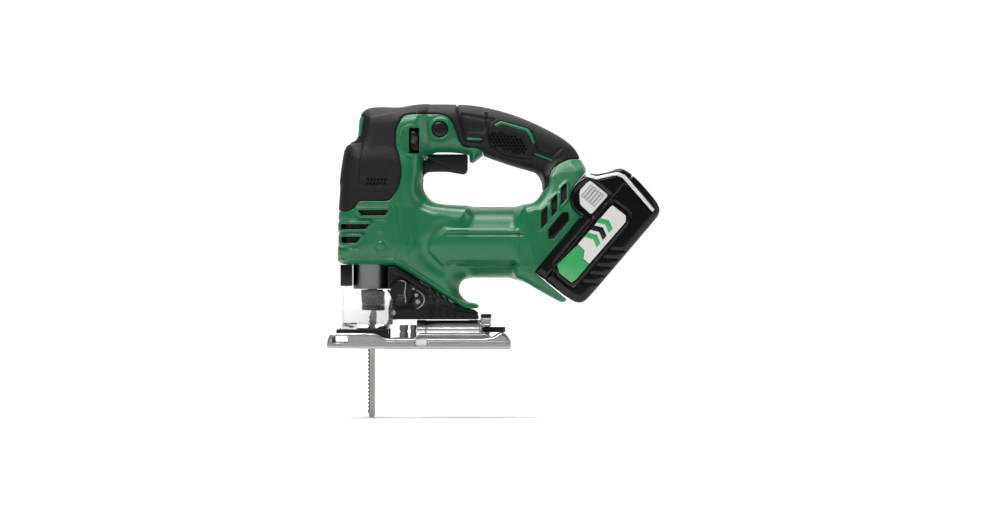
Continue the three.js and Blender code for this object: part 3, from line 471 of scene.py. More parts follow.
def build_housing(side):
    """One half of the housing with its soft grip and green inlays. It is modelled on the left and, for
    the right side, turned over the mid-plane."""
    grid = Grid(BODY_LOW, BODY_HIGH, BODY_STEP)
    form = body_field(grid)
    grip_area = grid.inside(GRIP_AREA)
    edge = 0.55 * groove(np.abs(grip_area), 2.2)
    middle = grid.y + SEAM
    seam = 0.35 * np.clip(1 - np.abs(grid.y + SEAM) / 0.9, 0, 1)
    pack = grid.inside(PACK_SPACE)
    well = np.maximum(grid.inside(TRIGGER_WELL), np.abs(grid.y) - 8.5)
    openings = [pack, well, np.maximum(np.hypot(grid.x + 40.5, grid.y) - 16.9, grid.z - 78)]
    for vent in [VENT_A, VENT_B, VENT_C, *FOOT_VENTS]:
        openings.append(np.maximum(grid.inside(vent), grid.y + 14))
    if side == LEFT:
        dial = grid.inside(box_outline(-8.6, -0.4, 165.8, 187.2))
        openings.append(np.maximum(dial, np.abs(grid.y + 23) - 18))
        openings.append(np.maximum(grid.to_point(*LOCK_CENTRE) - 7.1, grid.y + 8))
    else:
        for x, z in SCREWS:
            openings.append(grid.to_point(x, z) - 3.6)

    def opened(field):
        for opening in openings:
            field = np.maximum(field, -opening)
        return np.maximum(field, middle)

    outside = form + green_relief(grid, side) + edge + seam
    wall = np.maximum(outside, -(form + SHELL))
    floor = np.maximum(np.maximum(form, -(pack + 0.3 + SHELL)), pack + 0.1)
    green = opened(np.maximum(np.minimum(wall, np.maximum(floor, -(form + 60))), -(grip_area - PART_LINE)))
    soft_relief = grip_relief(grid)
    soft_out = form + soft_relief + edge + seam
    inlay = np.minimum.reduce([grid.inside(points) for points in INLAYS])
    inlay_space = np.maximum(inlay - PART_LINE, -(form + 1.3))
    soft = np.maximum(np.maximum(soft_out, -(form + SKIN)), grip_area + PART_LINE)
    soft = opened(np.maximum(soft, -inlay_space))
    strips = np.maximum(np.maximum(form - 0.25 + 0.3 * groove(np.abs(inlay), 1.2), -(form + 1.2)), inlay)
    strips = opened(np.maximum(strips, grip_area + PART_LINE))
    vents = np.minimum.reduce([grid.inside(vent) for vent in [VENT_A, VENT_B, VENT_C, *FOOT_VENTS]])
    screen = common(vents - 2.4, form + SHELL + 0.15, -(form + SHELL + 1.5), middle, -pack)
    badge = common(form + 0.35, -(form + 1.4), grid.inside(BADGE) + 0.1, middle)
    word = SIDE_WORD[side]
    pieces = [
        moulded(f"foot_badge_{word}", grid, badge, "tool", [], GLOSS),
        moulded(f"vent_screens_{word}", grid, screen, "tool", [], BLACK),
        moulded(f"housing_shell_{word}", grid, green, "tool", [f"housing_{word}"], GREEN),
        moulded(f"soft_grip_{word}", grid, soft, "tool", [f"grip_{word}"], SOFT),
        moulded(f"grip_inlays_{word}", grid, strips, "tool", [], GREEN),
    ]
    if side == RIGHT:
        for piece in pieces:
            piece.data.transform(Matrix.Scale(-1, 4, (0, 1, 0)))
            piece.data.flip_normals()


build_housing(LEFT)
build_housing(RIGHT)


def bumps(name, outlines, rise, taper, body, material):
    """Small raised shapes in one mesh: each is an outline in the side view with the depth of its foot. A
    positive rise points to the right side of the tool."""
    model = bmesh.new()
    for outline, foot in outlines:
        cx = sum(x for x, _ in outline) / len(outline)
        cz = sum(z for _, z in outline) / len(outline)
        rings = []
        for y, scale in ((foot, 1.0), (foot + 0.7 * rise, 1.0), (foot + rise, taper)):
            ring = [((cx + (x - cx) * scale) * MM, y * MM, (cz + (z - cz) * scale) * MM) for x, z in outline]
            rings.append([model.verts.new(place) for place in ring])
        for low, high in zip(rings, rings[1:]):
            for i in range(len(outline)):
                j = (i + 1) % len(outline)
                model.faces.new((low[i], low[j], high[j], high[i]))
        model.faces.new(rings[-1])
        model.faces.new(rings[0][::-1])
    bmesh.ops.recalc_face_normals(model, faces=model.faces)
    mesh = bpy.data.meshes.new(name)
    model.to_mesh(mesh)
    model.free()
    return placed(name, mesh, body, [], material)


def side_depth():
    """A function that gives the depth of the housing's left side at a place in the side view."""
    grid = Grid((-70, -36, 120), (100, 0, 200), 1.0)
    form = body_field(grid)

    def depth(x, z):
        column = form[int(round(x + 70)), :, int(round(z - 120))]
        first = int(np.argmax(column < 0))
        share = column[first - 1] / (column[first - 1] - column[first])
        return float(grid.axes[1][first - 1] + share)

    return depth


def point_inside(outline, x, z):
    within = False
    for (ax, az), (bx, bz) in zip(outline, outline[1:] + outline[:1]):
        if (az > z) != (bz > z) and x < (bx - ax) * (z - az) / (bz - az) + ax:
            within = not within
    return within


def build_grip_texture():
    """The field of pips on the handle and the two rows of slanted bars on the head, on both sides."""
    depth = side_depth()
    pips = []
    pitch, row_pitch = 3.0, 2.7
    core = [(59.5, 181.5), (64, 185), (87.5, 178.6), (91, 170), (89.6, 165.4), (76, 167), (62, 172.6)]
    for row in range(9):
        for column in range(13):
            x, z = 57 + pitch * (column + 0.5 * (row % 2)), 164 + row_pitch * row
            if point_inside(core, x, z):
                hexagon = [(x + 1.15 * math.cos(a), z + 1.15 * math.sin(a)) for a in
                           [math.pi / 3 * i for i in range(6)]]
                pips.append((hexagon, depth(x, z) + PIP_RECESS + 0.3))
    bars = []
    for row, z in enumerate((138.8, 142.4)):
        for i in range(6):
            x = -45.5 + 2.95 * i + 0.8 * row
            bar = [(x, z), (x + 1.7, z), (x + 2.6, z + 2.3), (x + 0.9, z + 2.3)]
            bars.append((bar, depth(x + 1, z + 1) - 0.7))
    for side in (LEFT, RIGHT):
        word = SIDE_WORD[side]
        turned = [(outline, foot * -side) for outline, foot in pips]
        bumps(f"handle_pips_{word}", turned, 1.6 * side, 0.6, "tool", GLOSS)
        turned = [(outline, foot * -side) for outline, foot in bars]
        bumps(f"head_bars_{word}", turned, 1.0 * side, 0.8, "tool", GLOSS)


build_grip_texture()


# ---------- battery pack ----------
PACK_OUTLINE = rounded_off([
    (118, 49), (127, 42), (133, 38.8), (139, 38.9), (145, 44.5), (170, 74), (199, 108), (203.6, 114),
    (203.6, 121), (196, 131), (184, 144.5), (175, 151.5), (169, 153.4), (160, 149.5), (150, 147.8),
    (141.3, 149), (128, 141), (110, 130), (80, 75), (97.9, 64.9),
])
PACK_HALF = 38.0
PACK_SPLIT = 44.0
LATCH = filleted([(144.5, 142.5), (160, 130), (145.5, 113.5), (136, 122), (135.5, 133)], 2.2)
LATCH_SURROUND = filleted([(144, 145), (163.5, 130), (146, 110), (132, 121), (131, 135)], 3)
# a pale band just inside the pack's upper and rear edges: a painted highlight along the chamfer there
PAINTED_HIGHLIGHT_BAND = [
    (140.6, 145.6), (150, 143.0), (167, 146.6), (172.2, 144.2), (197.2, 115.6), (199.4, 117.6),
    (174.2, 147.2), (167.6, 149.8), (150, 146.0), (141.2, 148.4),
]
PACK_LABEL = filleted([(115, 71), (118, 62.4), (129, 53.6), (134, 57), (176.5, 107), (176.8, 114),
                       (163, 124), (158, 122)], 3)


def pack_axes(grid):
    along = grid.x * SLIDE[0] + grid.z * SLIDE[1]
    out = grid.x * SLIDE[1] - grid.z * SLIDE[0]
    return along, out


def build_pack():
    grid = Grid((94, -39.4, 36.6), (205.8, 39.4, 155.4), 0.7)
    along, out = pack_axes(grid)
    form = grid.slab(PACK_OUTLINE, PACK_HALF, 6)
    space = grid.inside(PACK_SPACE)
    relief = 0.9 * step_down(grid.inside(LATCH_SURROUND), 1.4)
    relief = relief + 0.6 * groove(np.abs(out - PACK_SPLIT), 1.6)
    for i in range(5):
        start = on_slide(133 + 9.0 * i, 71)
        end = on_slide(139 + 9.0 * i, 79.5)
        relief = relief + 1.3 * step_down(grid.to_line([start, end]) - 1.0, 1.0)
    relief = relief + 0.8 * groove(np.abs(grid.inside(PACK_LABEL) - 1.6), 1.7)
    # the shell is sunk a little where the pale band of painted highlight lies
    highlight_band = grid.inside(PAINTED_HIGHLIGHT_BAND)
    relief = relief + 1.1 * step_down(highlight_band - 0.3, 0.5)
    end_ribs = np.abs((grid.y / 9.0) - np.round(grid.y / 9.0)) * 9.0
    end_face = (out > 79.0) * (np.abs(grid.y) < 28) * (np.abs(along - 170) < 34)
    relief = relief + 1.0 * groove(end_ribs, 2.2) * end_face
    walls = np.maximum(form + relief, -(form + SHELL))
    deck = np.maximum(form, np.maximum(space, -(space + SHELL)) + 0.3)
    shell = np.maximum(np.minimum(walls, deck), space + 0.3)
    for side in (LEFT, RIGHT):
        slot = common(np.abs(grid.y - 26 * side) - 2.4, out - 38.2, along - 168)
        shell = np.maximum(shell, -slot)
        latch = np.maximum(grid.inside(LATCH) - 0.3, 33 - side * grid.y)
        shell = np.maximum(shell, -latch)
    slot = common(np.abs(grid.y) - 17, out - 40.6, along - 142.5)
    shell = np.maximum(shell, -slot)
    # the pale band that paints the chamfer's highlight
    highlight_plate = common(form - 0.2, -(form + 1.0), highlight_band, space + 0.3)
    upper = np.maximum(shell, out - PACK_SPLIT + SEAM)
    lower = np.maximum(shell, PACK_SPLIT + SEAM - out)
    moulded("pack_painted_highlight", grid, highlight_plate, "battery", [], PALE)
    moulded("pack_upper_shell", grid, upper, "battery", ["battery_cover"], GLOSS)
    moulded("pack_lower_shell", grid, lower, "battery", ["battery_case"], GLOSS)


build_pack()


def plate(name, outline, y0, y1, body, nodes, material, edge=0.35):
    """A flat piece of a given outline, with softened edges."""
    model = bmesh.new()
    low = [model.verts.new((x * MM, y0 * MM, z * MM)) for x, z in outline]
    face = model.faces.new(low)
    top = bmesh.ops.extrude_face_region(model, geom=[face])["geom"]
    moved = [item for item in top if isinstance(item, bmesh.types.BMVert)]
    bmesh.ops.translate(model, verts=moved, vec=(0, (y1 - y0) * MM, 0))
    bmesh.ops.recalc_face_normals(model, faces=model.faces)
    if edge:
        rims = [e for e in model.edges if abs(e.verts[0].co.y - e.verts[1].co.y) < 1e-7]
        bmesh.ops.bevel(model, geom=rims, offset=edge * MM, segments=2, profile=0.6, affect="EDGES",
                        clamp_overlap=True)
    mesh = bpy.data.meshes.new(name)
    model.to_mesh(mesh)
    model.free()
    mesh.shade_smooth()
    mesh.set_sharp_from_angle(angle=math.radians(40))
    return placed(name, mesh, body, nodes, material)


def depths(side, near, far):
    """The depths between which a plate on one side lies, the lower one first."""
    return sorted((side * near, side * far))


def pack_trim(side):
    """The label and chevrons on the pack's side, and the latch button with its ribs."""
    word = SIDE_WORD[side]
    y0, y1 = depths(side, PACK_HALF - 0.6, PACK_HALF + 0.1)
    label = [(116.5, 71), (118.6, 64), (129, 55.8), (133, 59), (143.5, 71.4), (138.4, 76), (139.6, 83),
             (134, 88)]
    plate(f"pack_label_green_{word}", label, y0, y1, "battery", [], LABEL_GREEN, 0.2)
    label = [(134.2, 88.4), (139.9, 83.2), (138.8, 76.2), (143.8, 71.8), (174.6, 107.4), (174.8, 112.6),
             (163.6, 121.4), (161, 119.4)]
    plate(f"pack_label_pale_{word}", label, y0, y1, "battery", [], PALE, 0.2)
    y2, y3 = depths(side, PACK_HALF - 0.2, PACK_HALF + 0.3)
    for i, (t, tint) in enumerate(((162, LABEL_GREEN), (170, BLACK), (178, LABEL_GREEN))):
        chevron = [on_slide(t, 46), on_slide(t + 5, 46), on_slide(t + 8.5, 53), on_slide(t + 5, 60),
                   on_slide(t, 60), on_slide(t + 3.5, 53)]
        plate(f"label_chevron_{i}_{word}", chevron, y2, y3, "battery", [], tint, 0.1)
    latch = f"latch_{word}"
    y2, y3 = depths(side, 37.6, 38.0)
    # a mid-grey patch on the latch button: painted shade of its recessed grip area
    shaded_patch = filleted([on_slide(187, 21.5), on_slide(200, 21.5), on_slide(200, 36.5), on_slide(187, 36.5)], 1)
    plate(f"latch_shade_patch_{word}", shaded_patch, y2, y3, latch, [], LATCH_SHADE_GREY, 0.15)
    y2, y3 = depths(side, 37.7, 38.4)
    for i in range(5):
        n = 22.8 + 2.9 * i
        rib = [on_slide(188, n), on_slide(199, n), on_slide(199, n + 1.1), on_slide(188, n + 1.1)]
        plate(f"latch_rib_{i}_{word}", rib, y2, y3, latch, [], PALE, 0.2)
    y0, y1 = depths(side, 33.2, 37.9)
    plate(f"latch_button_{word}", LATCH, y0, y1, latch, [latch], PALE, 0.7)


pack_trim(LEFT)
pack_trim(RIGHT)


# ---------- turned and cut pieces ----------
def lathe(name, profile, centre, axis, body, nodes, material, steps=72, flutes=0, depth=0.0):
    """A profile of (along, radius) points turned about X, Y or Z through a centre in millimetres. Flutes cut
    its widest rings to a depth."""
    widest = max(radius for _, radius in profile)
    model = bmesh.new()
    turn = {"x": Matrix.Rotation(math.pi / 2, 4, "Y"), "y": Matrix.Rotation(-math.pi / 2, 4, "X"),
            "z": Matrix.Identity(4)}[axis]
    rings = []
    for along, radius in profile:
        angles = [2 * math.pi * i / steps for i in range(steps)]
        if radius == 0:
            rings.append([model.verts.new((0, 0, along))])
            continue
        cut = depth if radius > 0.9 * widest else 0.0
        radii = [radius - cut * (0.5 + 0.5 * math.cos(flutes * a)) for a in angles]
        ring = [(r * math.cos(a), r * math.sin(a), along) for r, a in zip(radii, angles)]
        rings.append([model.verts.new(spot) for spot in ring])
    for low, high in zip(rings, rings[1:]):
        for i in range(steps):
            j = (i + 1) % steps
            corners = [low[i % len(low)], low[j % len(low)], high[j % len(high)], high[i % len(high)]]
            unique = list(dict.fromkeys(corners))
            if len(unique) > 2:
                model.faces.new(unique)
    bmesh.ops.recalc_face_normals(model, faces=model.faces)
    place = Matrix.Scale(MM, 4) @ Matrix.Translation(centre) @ turn
    bmesh.ops.transform(model, matrix=place, verts=model.verts)
    mesh = bpy.data.meshes.new(name)
    model.to_mesh(mesh)
    model.free()
    mesh.shade_smooth()
    mesh.set_sharp_from_angle(angle=math.radians(35))
    return placed(name, mesh, body, nodes, material)


def refined(name, node, material, body, edge=0.35, segments=2):
    """A CAD node's own shape with its edges broken, as a moulded or machined part has."""
    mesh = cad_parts[node].data.copy()
    mesh.name = name
    mesh.materials.clear()
    model = bmesh.new()
    model.from_mesh(mesh)
    bmesh.ops.remove_doubles(model, verts=model.verts, dist=1e-6)
    bmesh.ops.dissolve_limit(model, angle_limit=0.01, verts=model.verts, edges=model.edges)
    sharp = [e for e in model.edges if len(e.link_faces) == 2 and e.calc_face_angle() > math.radians(32)]
    bmesh.ops.bevel(model, geom=sharp, offset=edge * MM, segments=segments, profile=0.6, affect="EDGES",
                    clamp_overlap=True)
    model.to_mesh(mesh)
    model.free()
    mesh.shade_smooth()
    mesh.set_sharp_from_angle(angle=math.radians(34))
    return placed(name, mesh, body, [node], material)


REFINED = [
    ("liner_rim", "plate_liner", BLACK, "black_plastic", "base", 0.3),
    ("splinter_insert", "splinter_guard", BLACK, "black_plastic", "base", 0.3),
    ("lever_arm", "base_lever", BLACK, "black_plastic", "bevel_lever", 0.6),
    ("guard_mount", "front_mount", BLACK, "black_plastic", "tool", 0.5),
    ("selector_scale", "selector_plate", BLACK, "black_plastic", "tool", 0.2),
    ("trigger_paddle", "trigger", BLACK, "black_plastic", "trigger", 0.9),
    ("gear_casting", "gear_case", CAST, "cast_alloy", "tool", 0.4),
    ("clamp_ring", "clamp_collar", BLACK, "black_plastic", "blade_clamp", 0.3),
    ("roller_fork", "roller_holder", STEEL, "machine_steel", "roller_arm", 0.25),
    ("guard_window", "chip_cover", CLEAR, "clear_cover", "chip_cover", 0.2),
]
for new_name, node, material, slot, body, edge in REFINED:
    refined(new_name, node, material, body, edge)


def build_sole():
    """The pressed steel sole: a shallow tray with rolled edges, side steps and a rear kick-up."""
    grid = Grid((-79.6, -40.4, -1.2), (79.4, 40.4, 16.4), 0.5)
    side = rounded_off([
        (-75.5, 0), (-78, 1.5), (-78, 4), (-77, 9), (-74.8, 13.2), (-70, 13.4), (-42, 13.4),
        (-36, 12.7), (-30, 9.2), (-25, 8.6), (30, 8.6), (61, 8.6), (68, 13.2), (70.5, 13.6), (77, 8),
        (77.6, 3), (77, 0.4), (75.4, 0),
    ], 1)
    outer = grid.slab(side, 39.0 - 0.6, 1.6)
    outer = outer - 0.4 * (np.clip((6.2 - grid.z) / 0.6, 0, 1) * (grid.x > -29))
    tray = common(np.abs(grid.y) - 36.8, 2.4 - grid.z, np.abs(grid.x + 0.5) - 75.6)
    hole = common(np.abs(grid.y) - 18, np.abs(grid.x + 42) - 20)
    guide_slot = grid.inside(filleted(box_outline(-73.5, -60.5, 5, 10.6), 1.5))
    insert_slot = grid.inside(box_outline(-3, 6.5, 3.0, 7.6))
    slots = np.minimum(guide_slot, insert_slot)
    field = common(outer, -tray, -hole, -slots)
    moulded("sole_tray", grid, field, "base", ["sole_plate"], BRUSHED, 1)


def build_gear_cover():
    """The black cover under the gear housing, with its ribs and the pocket round the selector."""
    grid = Grid((-30.4, -26, 23.2), (52.4, 26, 71.4), 0.55)
    side = filleted([(-22.3, 24.5), (50, 24.5), (50.4, 30), (46, 32.9), (37.6, 34), (28.4, 38.2),
                     (-20.2, 70), (-27, 70), (-27, 51), (-22.3, 48)], 0.8)
    half = np.interp(grid.z, [24.5, 33, 38, 90], [14, 18, 24, 24])
    body = grid.slab(side, half, 2.0)
    front = grid.slab([(-28.5, 50), (-25.4, 42), (-27, 34), (-27, 25), (-20, 25), (-20, 50)], 11.7, 1.5)
    form = smooth_union(body, front, 2)
    relief = 0.9 * step_down(grid.to_point(-15.5, 47.5) - 11.2, 1.2)
    for i in range(6):
        x = 10 + 6.4 * i
        relief = relief - 0.9 * groove(grid.to_line([(x, 27), (x, 58 - i * 5)]), 2.6)
    relief = relief + 1.0 * groove(grid.to_line([(-24, 64.5), (30, 32.5), (50, 28.8)]), 1.8)
    field = form + relief
    cuts = [
        common(np.abs(grid.y) - 6, np.abs(grid.z - 30.5) - 10.5, grid.x + 15),
        common(np.abs(grid.y) - 11, 28 - grid.z, np.abs(grid.x - 19) - 27),
        grid.to_point(-22.5, 30.3) - 2.3,
        np.hypot(grid.x + 40.5, grid.y) - 16.8,
    ]
    for opening in cuts:
        field = np.maximum(field, -opening)
    moulded("gear_underside_cover", grid, field, "tool", ["gear_cover"], BLACK, 1)


def build_selector():
    grid = Grid((-27, -32.4, 35), (-4, -23.6, 60), 0.35)
    disc = np.maximum(grid.to_point(-15.5, 47.5) - 9.4, np.abs(grid.y + 25.8) - 1.3)
    outline = rounded_off([(-20, 38.5), (-17.8, 36.8), (-13.2, 36.8), (-11, 38.5), (-11.6, 47.5),
                           (-11, 56.5), (-13.2, 58.2), (-17.8, 58.2), (-20, 56.5), (-19.4, 47.5)], 2)
    grip = np.maximum(grid.inside(outline), np.abs(grid.y + 28.8) - 2.5)
    form = smooth_union(disc, grip, 1.6)
    relief = 0.5 * groove(grid.to_line([(-15.5, 51), (-15.5, 57)]), 1.4)
    for i in range(3):
        relief = relief + 0.35 * groove(grid.to_line([(-19, 41 + 2.2 * i), (-12, 41 + 2.2 * i)]), 1.2)
    moulded("orbital_knob", grid, form + relief, "selector", ["orbital_selector"], BLACK, 1)


def build_bracket():
    """The tilt bracket: a half-round saddle on a bright flange, with the clamp post behind it."""
    grid = Grid((-6, -24.6, 2.6), (63, 24.6, 29.6), 0.5)
    saddle = common(np.hypot(grid.y, grid.z) - 24.0, np.abs(grid.x - 24.4) - 27.1, 12.6 - grid.z)
    hollowed = common(np.hypot(grid.y, grid.z) - 20.6, np.abs(grid.x - 24.4) - 40)
    slot = common(np.abs(grid.y) - 3.4, 19 - grid.z, np.abs(grid.x - 24) - 17)
    pin_bore = np.hypot(grid.x - 57.3, grid.y) - 2.3
    relief = 0.5 * groove(np.abs(grid.z - 16.6), 1.6) + 0.5 * groove(np.abs(grid.x - 6), 1.6)
    post = grid.slab(filleted([(51.7, 3), (61, 3), (61, 25.8), (51.7, 25.8)], 1.2), 9, 1.2)
    post = common(post + 0.8 * groove(np.abs(grid.z - 21), 1.6), 12.6 - grid.z)
    lever_slot = common(53 - grid.x, np.abs(grid.z - 15.75) - 2.6)
    form = np.minimum(common(saddle + relief, -hollowed, -slot), common(post, -lever_slot, -pin_bore))
    moulded("saddle_bracket", grid, form, "base", ["tilt_bracket"], BRACKET, 1)
    flange = grid.slab([(-5, 8.8), (0, 12.3), (57, 12.3), (62, 8.8), (62, 3.2), (-5, 3.2)], 20.2, 0.8)
    tunnel = common(np.abs(grid.y) - 15.5, 9.5 - grid.z)
    tunnel = np.minimum(tunnel, common(np.hypot(grid.x - 57.3, grid.y) - 2.3, 8 - grid.z))
    plate("saddle_cap", filleted(box_outline(52, 61, 26, 29), 0.8), -8.6, 8.6, "base", [], BLACK)
    moulded("saddle_flange", grid, common(flange, -tunnel), "base", [], BRACKET, 1)
    for side in (LEFT, RIGHT):
        word = SIDE_WORD[side]
        for i, (x, radius) in enumerate(((-13.7, 3.6), (-5.6, 2.4))):
            rings = [(9, 0), (9, radius), (13, radius), (13.4, radius * 0.8), (15, radius * 0.8),
                     (15.4, radius),
                     (19, radius), (19.6, radius - 0.6), (19.6, 0)]
            lathe(f"saddle_stud_{i}_{word}", rings, (x, 8 * side, 0), "z", "base", [], BRACKET,
                  40)
        y0, y1 = depths(side, 38.1, 38.7)
        plate(f"guide_insert_{word}", box_outline(-3, 6.4, 3.4, 7.6), y0, y1, "base", [], PALE,
              0.15)


def build_blade():
    """The saw blade: raked teeth up the front edge, a ground back and a slanted tip, with painted shade in
    its gullets.
    """
    pitch, gullet, front, back, top, tip = 3.2, 0.8, -44.6, -38.25, 46.8, -59.4
    outline = [(back, tip + 2.2), (back, top), (-43, top), (-43, 31)]
    # a comb of near-black triangles between the teeth: painted shade in the gullets
    shade = [(front + 1.6, tip + 3), (front + 1.6, 28)]
    count = int((27 - tip - 3) / pitch)
    for i in range(count):
        z = 29 - i * pitch
        outline += [(front + gullet, z), (front + gullet + 0.25, z - 0.45), (front, z - pitch + 0.15)]
        middle = z - pitch / 2
        shade += [(front + 1.3, middle), (front, middle - 0.1), (front + 0.1, middle - 0.3 * pitch),
                  (front + 1.3, middle - 0.55 * pitch)]
    outline += [(front + 1.6, tip), (back - 1.6, tip)]
    plate("toothed_blade", outline, -0.65, 0.65, "blade", ["saw_blade"], BLADE_STEEL, 0)
    plate("painted_tooth_shade", shade, -0.75, 0.75, "blade", [], GULLET_SHADE, 0)


def build_selector_marks():
    """Marks beside the orbital selector: a steel arc that paints the highlight on the fan-shaped scale's
    rim, growing dots, and a steel strip that paints the highlight on the edge of the knob's grip.
    """
    def arc(radius):
        angles = [math.radians(a) for a in range(-48, 56, 8)]
        return [(-15.5 + radius * math.cos(a), 41.5 + radius * math.sin(a) * 0.55) for a in angles]

    # a steel arc along the scale's rim: a painted highlight
    rim = arc(20.2) + arc(19.2)[::-1]
    plate("selector_rim_highlight", rim, -25.9, -25.2, "tool", [], STEEL, 0)
    for i, (x, z, r) in enumerate(((-5.0, 50.6, 1.1), (-2.6, 45.4, 1.5), (-1.4, 39.6, 1.9))):
        rings = [(-25.2, 0), (-25.2, r), (-25.9, r), (-25.9, r - 0.5), (-25.6, r - 0.6), (-25.6, 0)]
        lathe(f"selector_dot_{i}", rings, (x, 0, z), "y", "tool", [], STEEL, 28)
    # a steel strip along the edge of the knob's grip: a painted highlight
    edge = [(-11.3, 39), (-11, 41), (-11.9, 47.5), (-11, 54), (-11.4, 56.2), (-13.4, 57.8), (-16.5, 57.9),
            (-16.5, 57.2), (-13.8, 57.1), (-12.2, 55.8), (-11.9, 54), (-12.8, 47.5), (-11.9, 41),
            (-12.1, 39)]
    plate("selector_grip_highlight", edge, -31.6, -31.1, "selector", [], STEEL, 0)


build_sole()
build_gear_cover()
build_selector()
build_bracket()
build_blade()
build_selector_marks()

lathe("blade_chuck",
      [(32.3, 0), (32.3, 6.6), (32.7, 7), (36.6, 7), (36.9, 9.1), (37.4, 9.5), (41, 9.5), (41.4, 9.1),
      (42, 9.1), (42.4, 9.5), (49.4, 9.5), (50, 9.0), (50, 5.2), (48.6, 5.0), (48.6, 0)],
      (PLUNGER_X, 0, 0), "z", "plunger", ["blade_holder"], DARK_STEEL)
lathe("reciprocating_rod", [(48.9, 0), (48.9, 4.5), (157.2, 4.5), (158, 3.8), (158, 0)],
      (PLUNGER_X, 0, 0), "z", "plunger", ["plunger_rod"], STEEL)
lathe("back_roller",
      [(-5.4, 0), (-5.4, 1.5), (-3.6, 1.5), (-3.6, 5.1), (-3.2, 5.5), (-0.9, 5.5), (-0.5, 4.9), (0.5, 4.9),
      (0.9, 5.5), (3.2, 5.5), (3.6, 5.1), (3.6, 1.5), (5.4, 1.5), (5.4, 0)],
      (-32.2, 0, 13.2), "y", "roller", ["guide_roller"], STEEL, 48)
lathe("lock_cap",
      [(-18.5, 0), (-18.45, 3.6), (-18.1, 5.8), (-17.4, 6.6), (-16.8, 6.8), (-12, 6.8), (-12, 3), (-11, 3),
      (-11, 0)], (17.3, 0, 186.5), "y", "lock_button", ["lock_button"], BLACK)
lathe("dial_wheel",
      [(-8, 0), (-8, 4), (-7.8, 7.4), (-7.2, 8.8), (-6.2, 9.4), (-2.8, 9.4), (-1.8, 8.8), (-1.2, 7.4),
       (-1, 4), (-1, 0)], (0, -16.5, 176.5), "x", "speed_dial", ["speed_dial"], BLACK,
       144, 36, 0.5)
lathe("work_lamp", [(52.2, 0), (52.0, 1.4), (52.4, 2.4), (57.7, 2.5), (57.7, 0)], (-62.5, 0, 0), "z", "tool",
      ["lamp_lens"], CLEAR, 32)

HEADS = {"screw_front_lower": 28.5, "screw_front_upper": 28, "screw_under_barrel": 28.5,
         "screw_rear_barrel": 31,
         "screw_handle_middle": 14.5, "screw_handle_rear": 14.5}
for (x, z), (node, head) in zip(SCREWS, HEADS.items()):
    profile = [(-6, 0), (-6, 1.4), (head - 2.6, 1.5), (head - 2.6, 3.2), (head - 0.7, 3.2), (head, 2.5),
               (head, 1.5), (head - 1.5, 1.4), (head - 1.5, 0)]
    lathe(f"fastener_{node}", profile, (x, 0, z), "y", "tool", [node], STEEL, 24)


# ---------- carried-over CAD nodes, which sit inside or show only in part ----------
FINISHES = {
    "clamp_bolt": STEEL, "plunger_bush_lower": BRONZE, "plunger_bush_upper": BRONZE, "dust_seal": SOFT,
    "gear_axle": STEEL, "motor_bearing_front": STEEL, "motor_bearing_rear": STEEL, "motor_stator": COPPER,
    "rotor_core": STEEL, "motor_shaft": STEEL, "motor_fan": BLACK, "drive_gear": STEEL, "crank_pin": STEEL,
    "crosshead": STEEL, "counterweight": CAST, "roller_pin": STEEL, "trigger_pin": STEEL,
    "trigger_switch": BLACK,
    "speed_control": BLACK, "controller_case": CAST, "terminal_block": BLACK, "cell_pack": CELLS,
    "battery_board": BOARD, "battery_terminals": BRONZE,
}
for node, material in FINISHES.items():
    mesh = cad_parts[node].data
    mesh.materials.clear()
    mesh.materials.append(material)


# ---------- camera, light and floor ----------
def aim(thing, target):
    thing.rotation_euler = (Vector(target) - thing.location).to_track_quat("-Z", "Y").to_euler()


def add_light(name, place, size, power, target=(0.06, 0, 0.09)):
    light = bpy.data.lights.new(name, "AREA")
    light.shape = "RECTANGLE"
    light.size, light.size_y = size
    light.energy = power
    lamp = bpy.data.objects.new(name, light)
    lamp.location = place
    bpy.context.scene.collection.objects.link(lamp)
    aim(lamp, target)


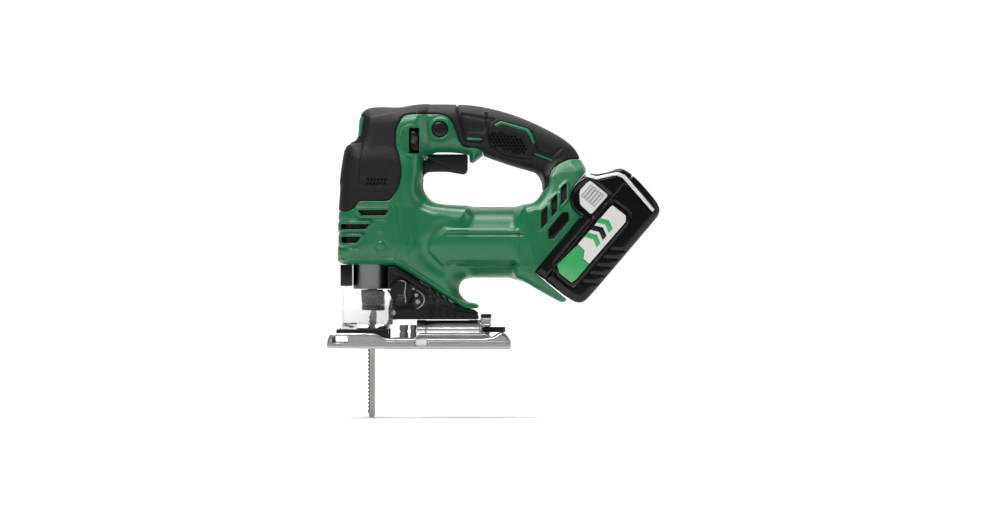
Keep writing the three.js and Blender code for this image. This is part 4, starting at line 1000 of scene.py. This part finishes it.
def build_sweep():
    """A pale floor that curves up into a wall behind the tool."""
    clearance, steps = 0.0004, 24
    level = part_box("saw_blade")[0].z - clearance
    half, front, back, radius, top = 7.0, -6.0, 2.2, 1.6, 5.0
    profile = [(front, level), (back, level)]
    for i in range(1, steps + 1):
        angle = math.pi / 2 * i / steps
        profile.append((back + radius * math.sin(angle), level + radius * (1 - math.cos(angle))))
    profile.append((back + radius, top))
    vertices = [(x, y, z) for y, z in profile for x in (-half, half)]
    faces = [(2 * i, 2 * i + 1, 2 * i + 3, 2 * i + 2) for i in range(len(profile) - 1)]
    mesh = bpy.data.meshes.new("sweep")
    mesh.from_pydata(vertices, [], faces)
    mesh.shade_smooth()
    finish = bpy.data.materials.new("studio_sweep")
    finish.use_nodes = True
    shader = finish.node_tree.nodes["Principled BSDF"]
    shader.inputs["Base Color"].default_value = FLOOR_TONE
    shader.inputs["Roughness"].default_value = 0.7
    mesh.materials.append(finish)
    sweep = bpy.data.objects.new("sweep", mesh)
    bpy.context.scene.collection.objects.link(sweep)


PHOTO_LENS = 150
CAMERA_PLACE = (0.0684, -3.56, 0.073)  # level with the middle of the photo, square to the tool's left side
FLOOR_TONE = (0.88, 0.88, 0.88, 1)


def build_studio():
    camera = bpy.data.objects.new("camera", bpy.data.cameras.new("camera"))
    camera.data.lens = PHOTO_LENS
    camera.data.sensor_width = 36
    camera.location = CAMERA_PLACE
    camera.rotation_euler = (math.pi / 2, 0, 0)
    bpy.context.scene.collection.objects.link(camera)
    bpy.context.scene.camera = camera
    add_light("overhead_front", (0.05, -1.6, 1.9), (1.8, 0.5), 3, (0.05, -1.6, 0))
    add_light("overhead", (0.05, 0.05, 1.5), (0.9, 0.3), 21, (0.05, -0.05, 0))
    add_light("overhead_back", (0.05, 1.5, 1.7), (1.8, 0.5), 8, (0.05, 1.5, 0))
    add_light("key", (-0.5, -1.0, 1.5), (0.9, 0.3), 34)
    add_light("edge", (1.5, -0.3, 0.5), (0.25, 1.0), 5)
    add_light("wall", (0, 1.6, 3.2), (5.0, 1.2), 130, (0, 3.8, 0.9))
    world = bpy.data.worlds.new("studio")
    world.use_nodes = True
    world.node_tree.nodes["Background"].inputs["Color"].default_value = (1, 1, 1, 1)
    world.node_tree.nodes["Background"].inputs["Strength"].default_value = 0.06
    bpy.context.scene.world = world
    bpy.context.scene.view_settings.view_transform = "Standard"
    build_sweep()


build_studio()
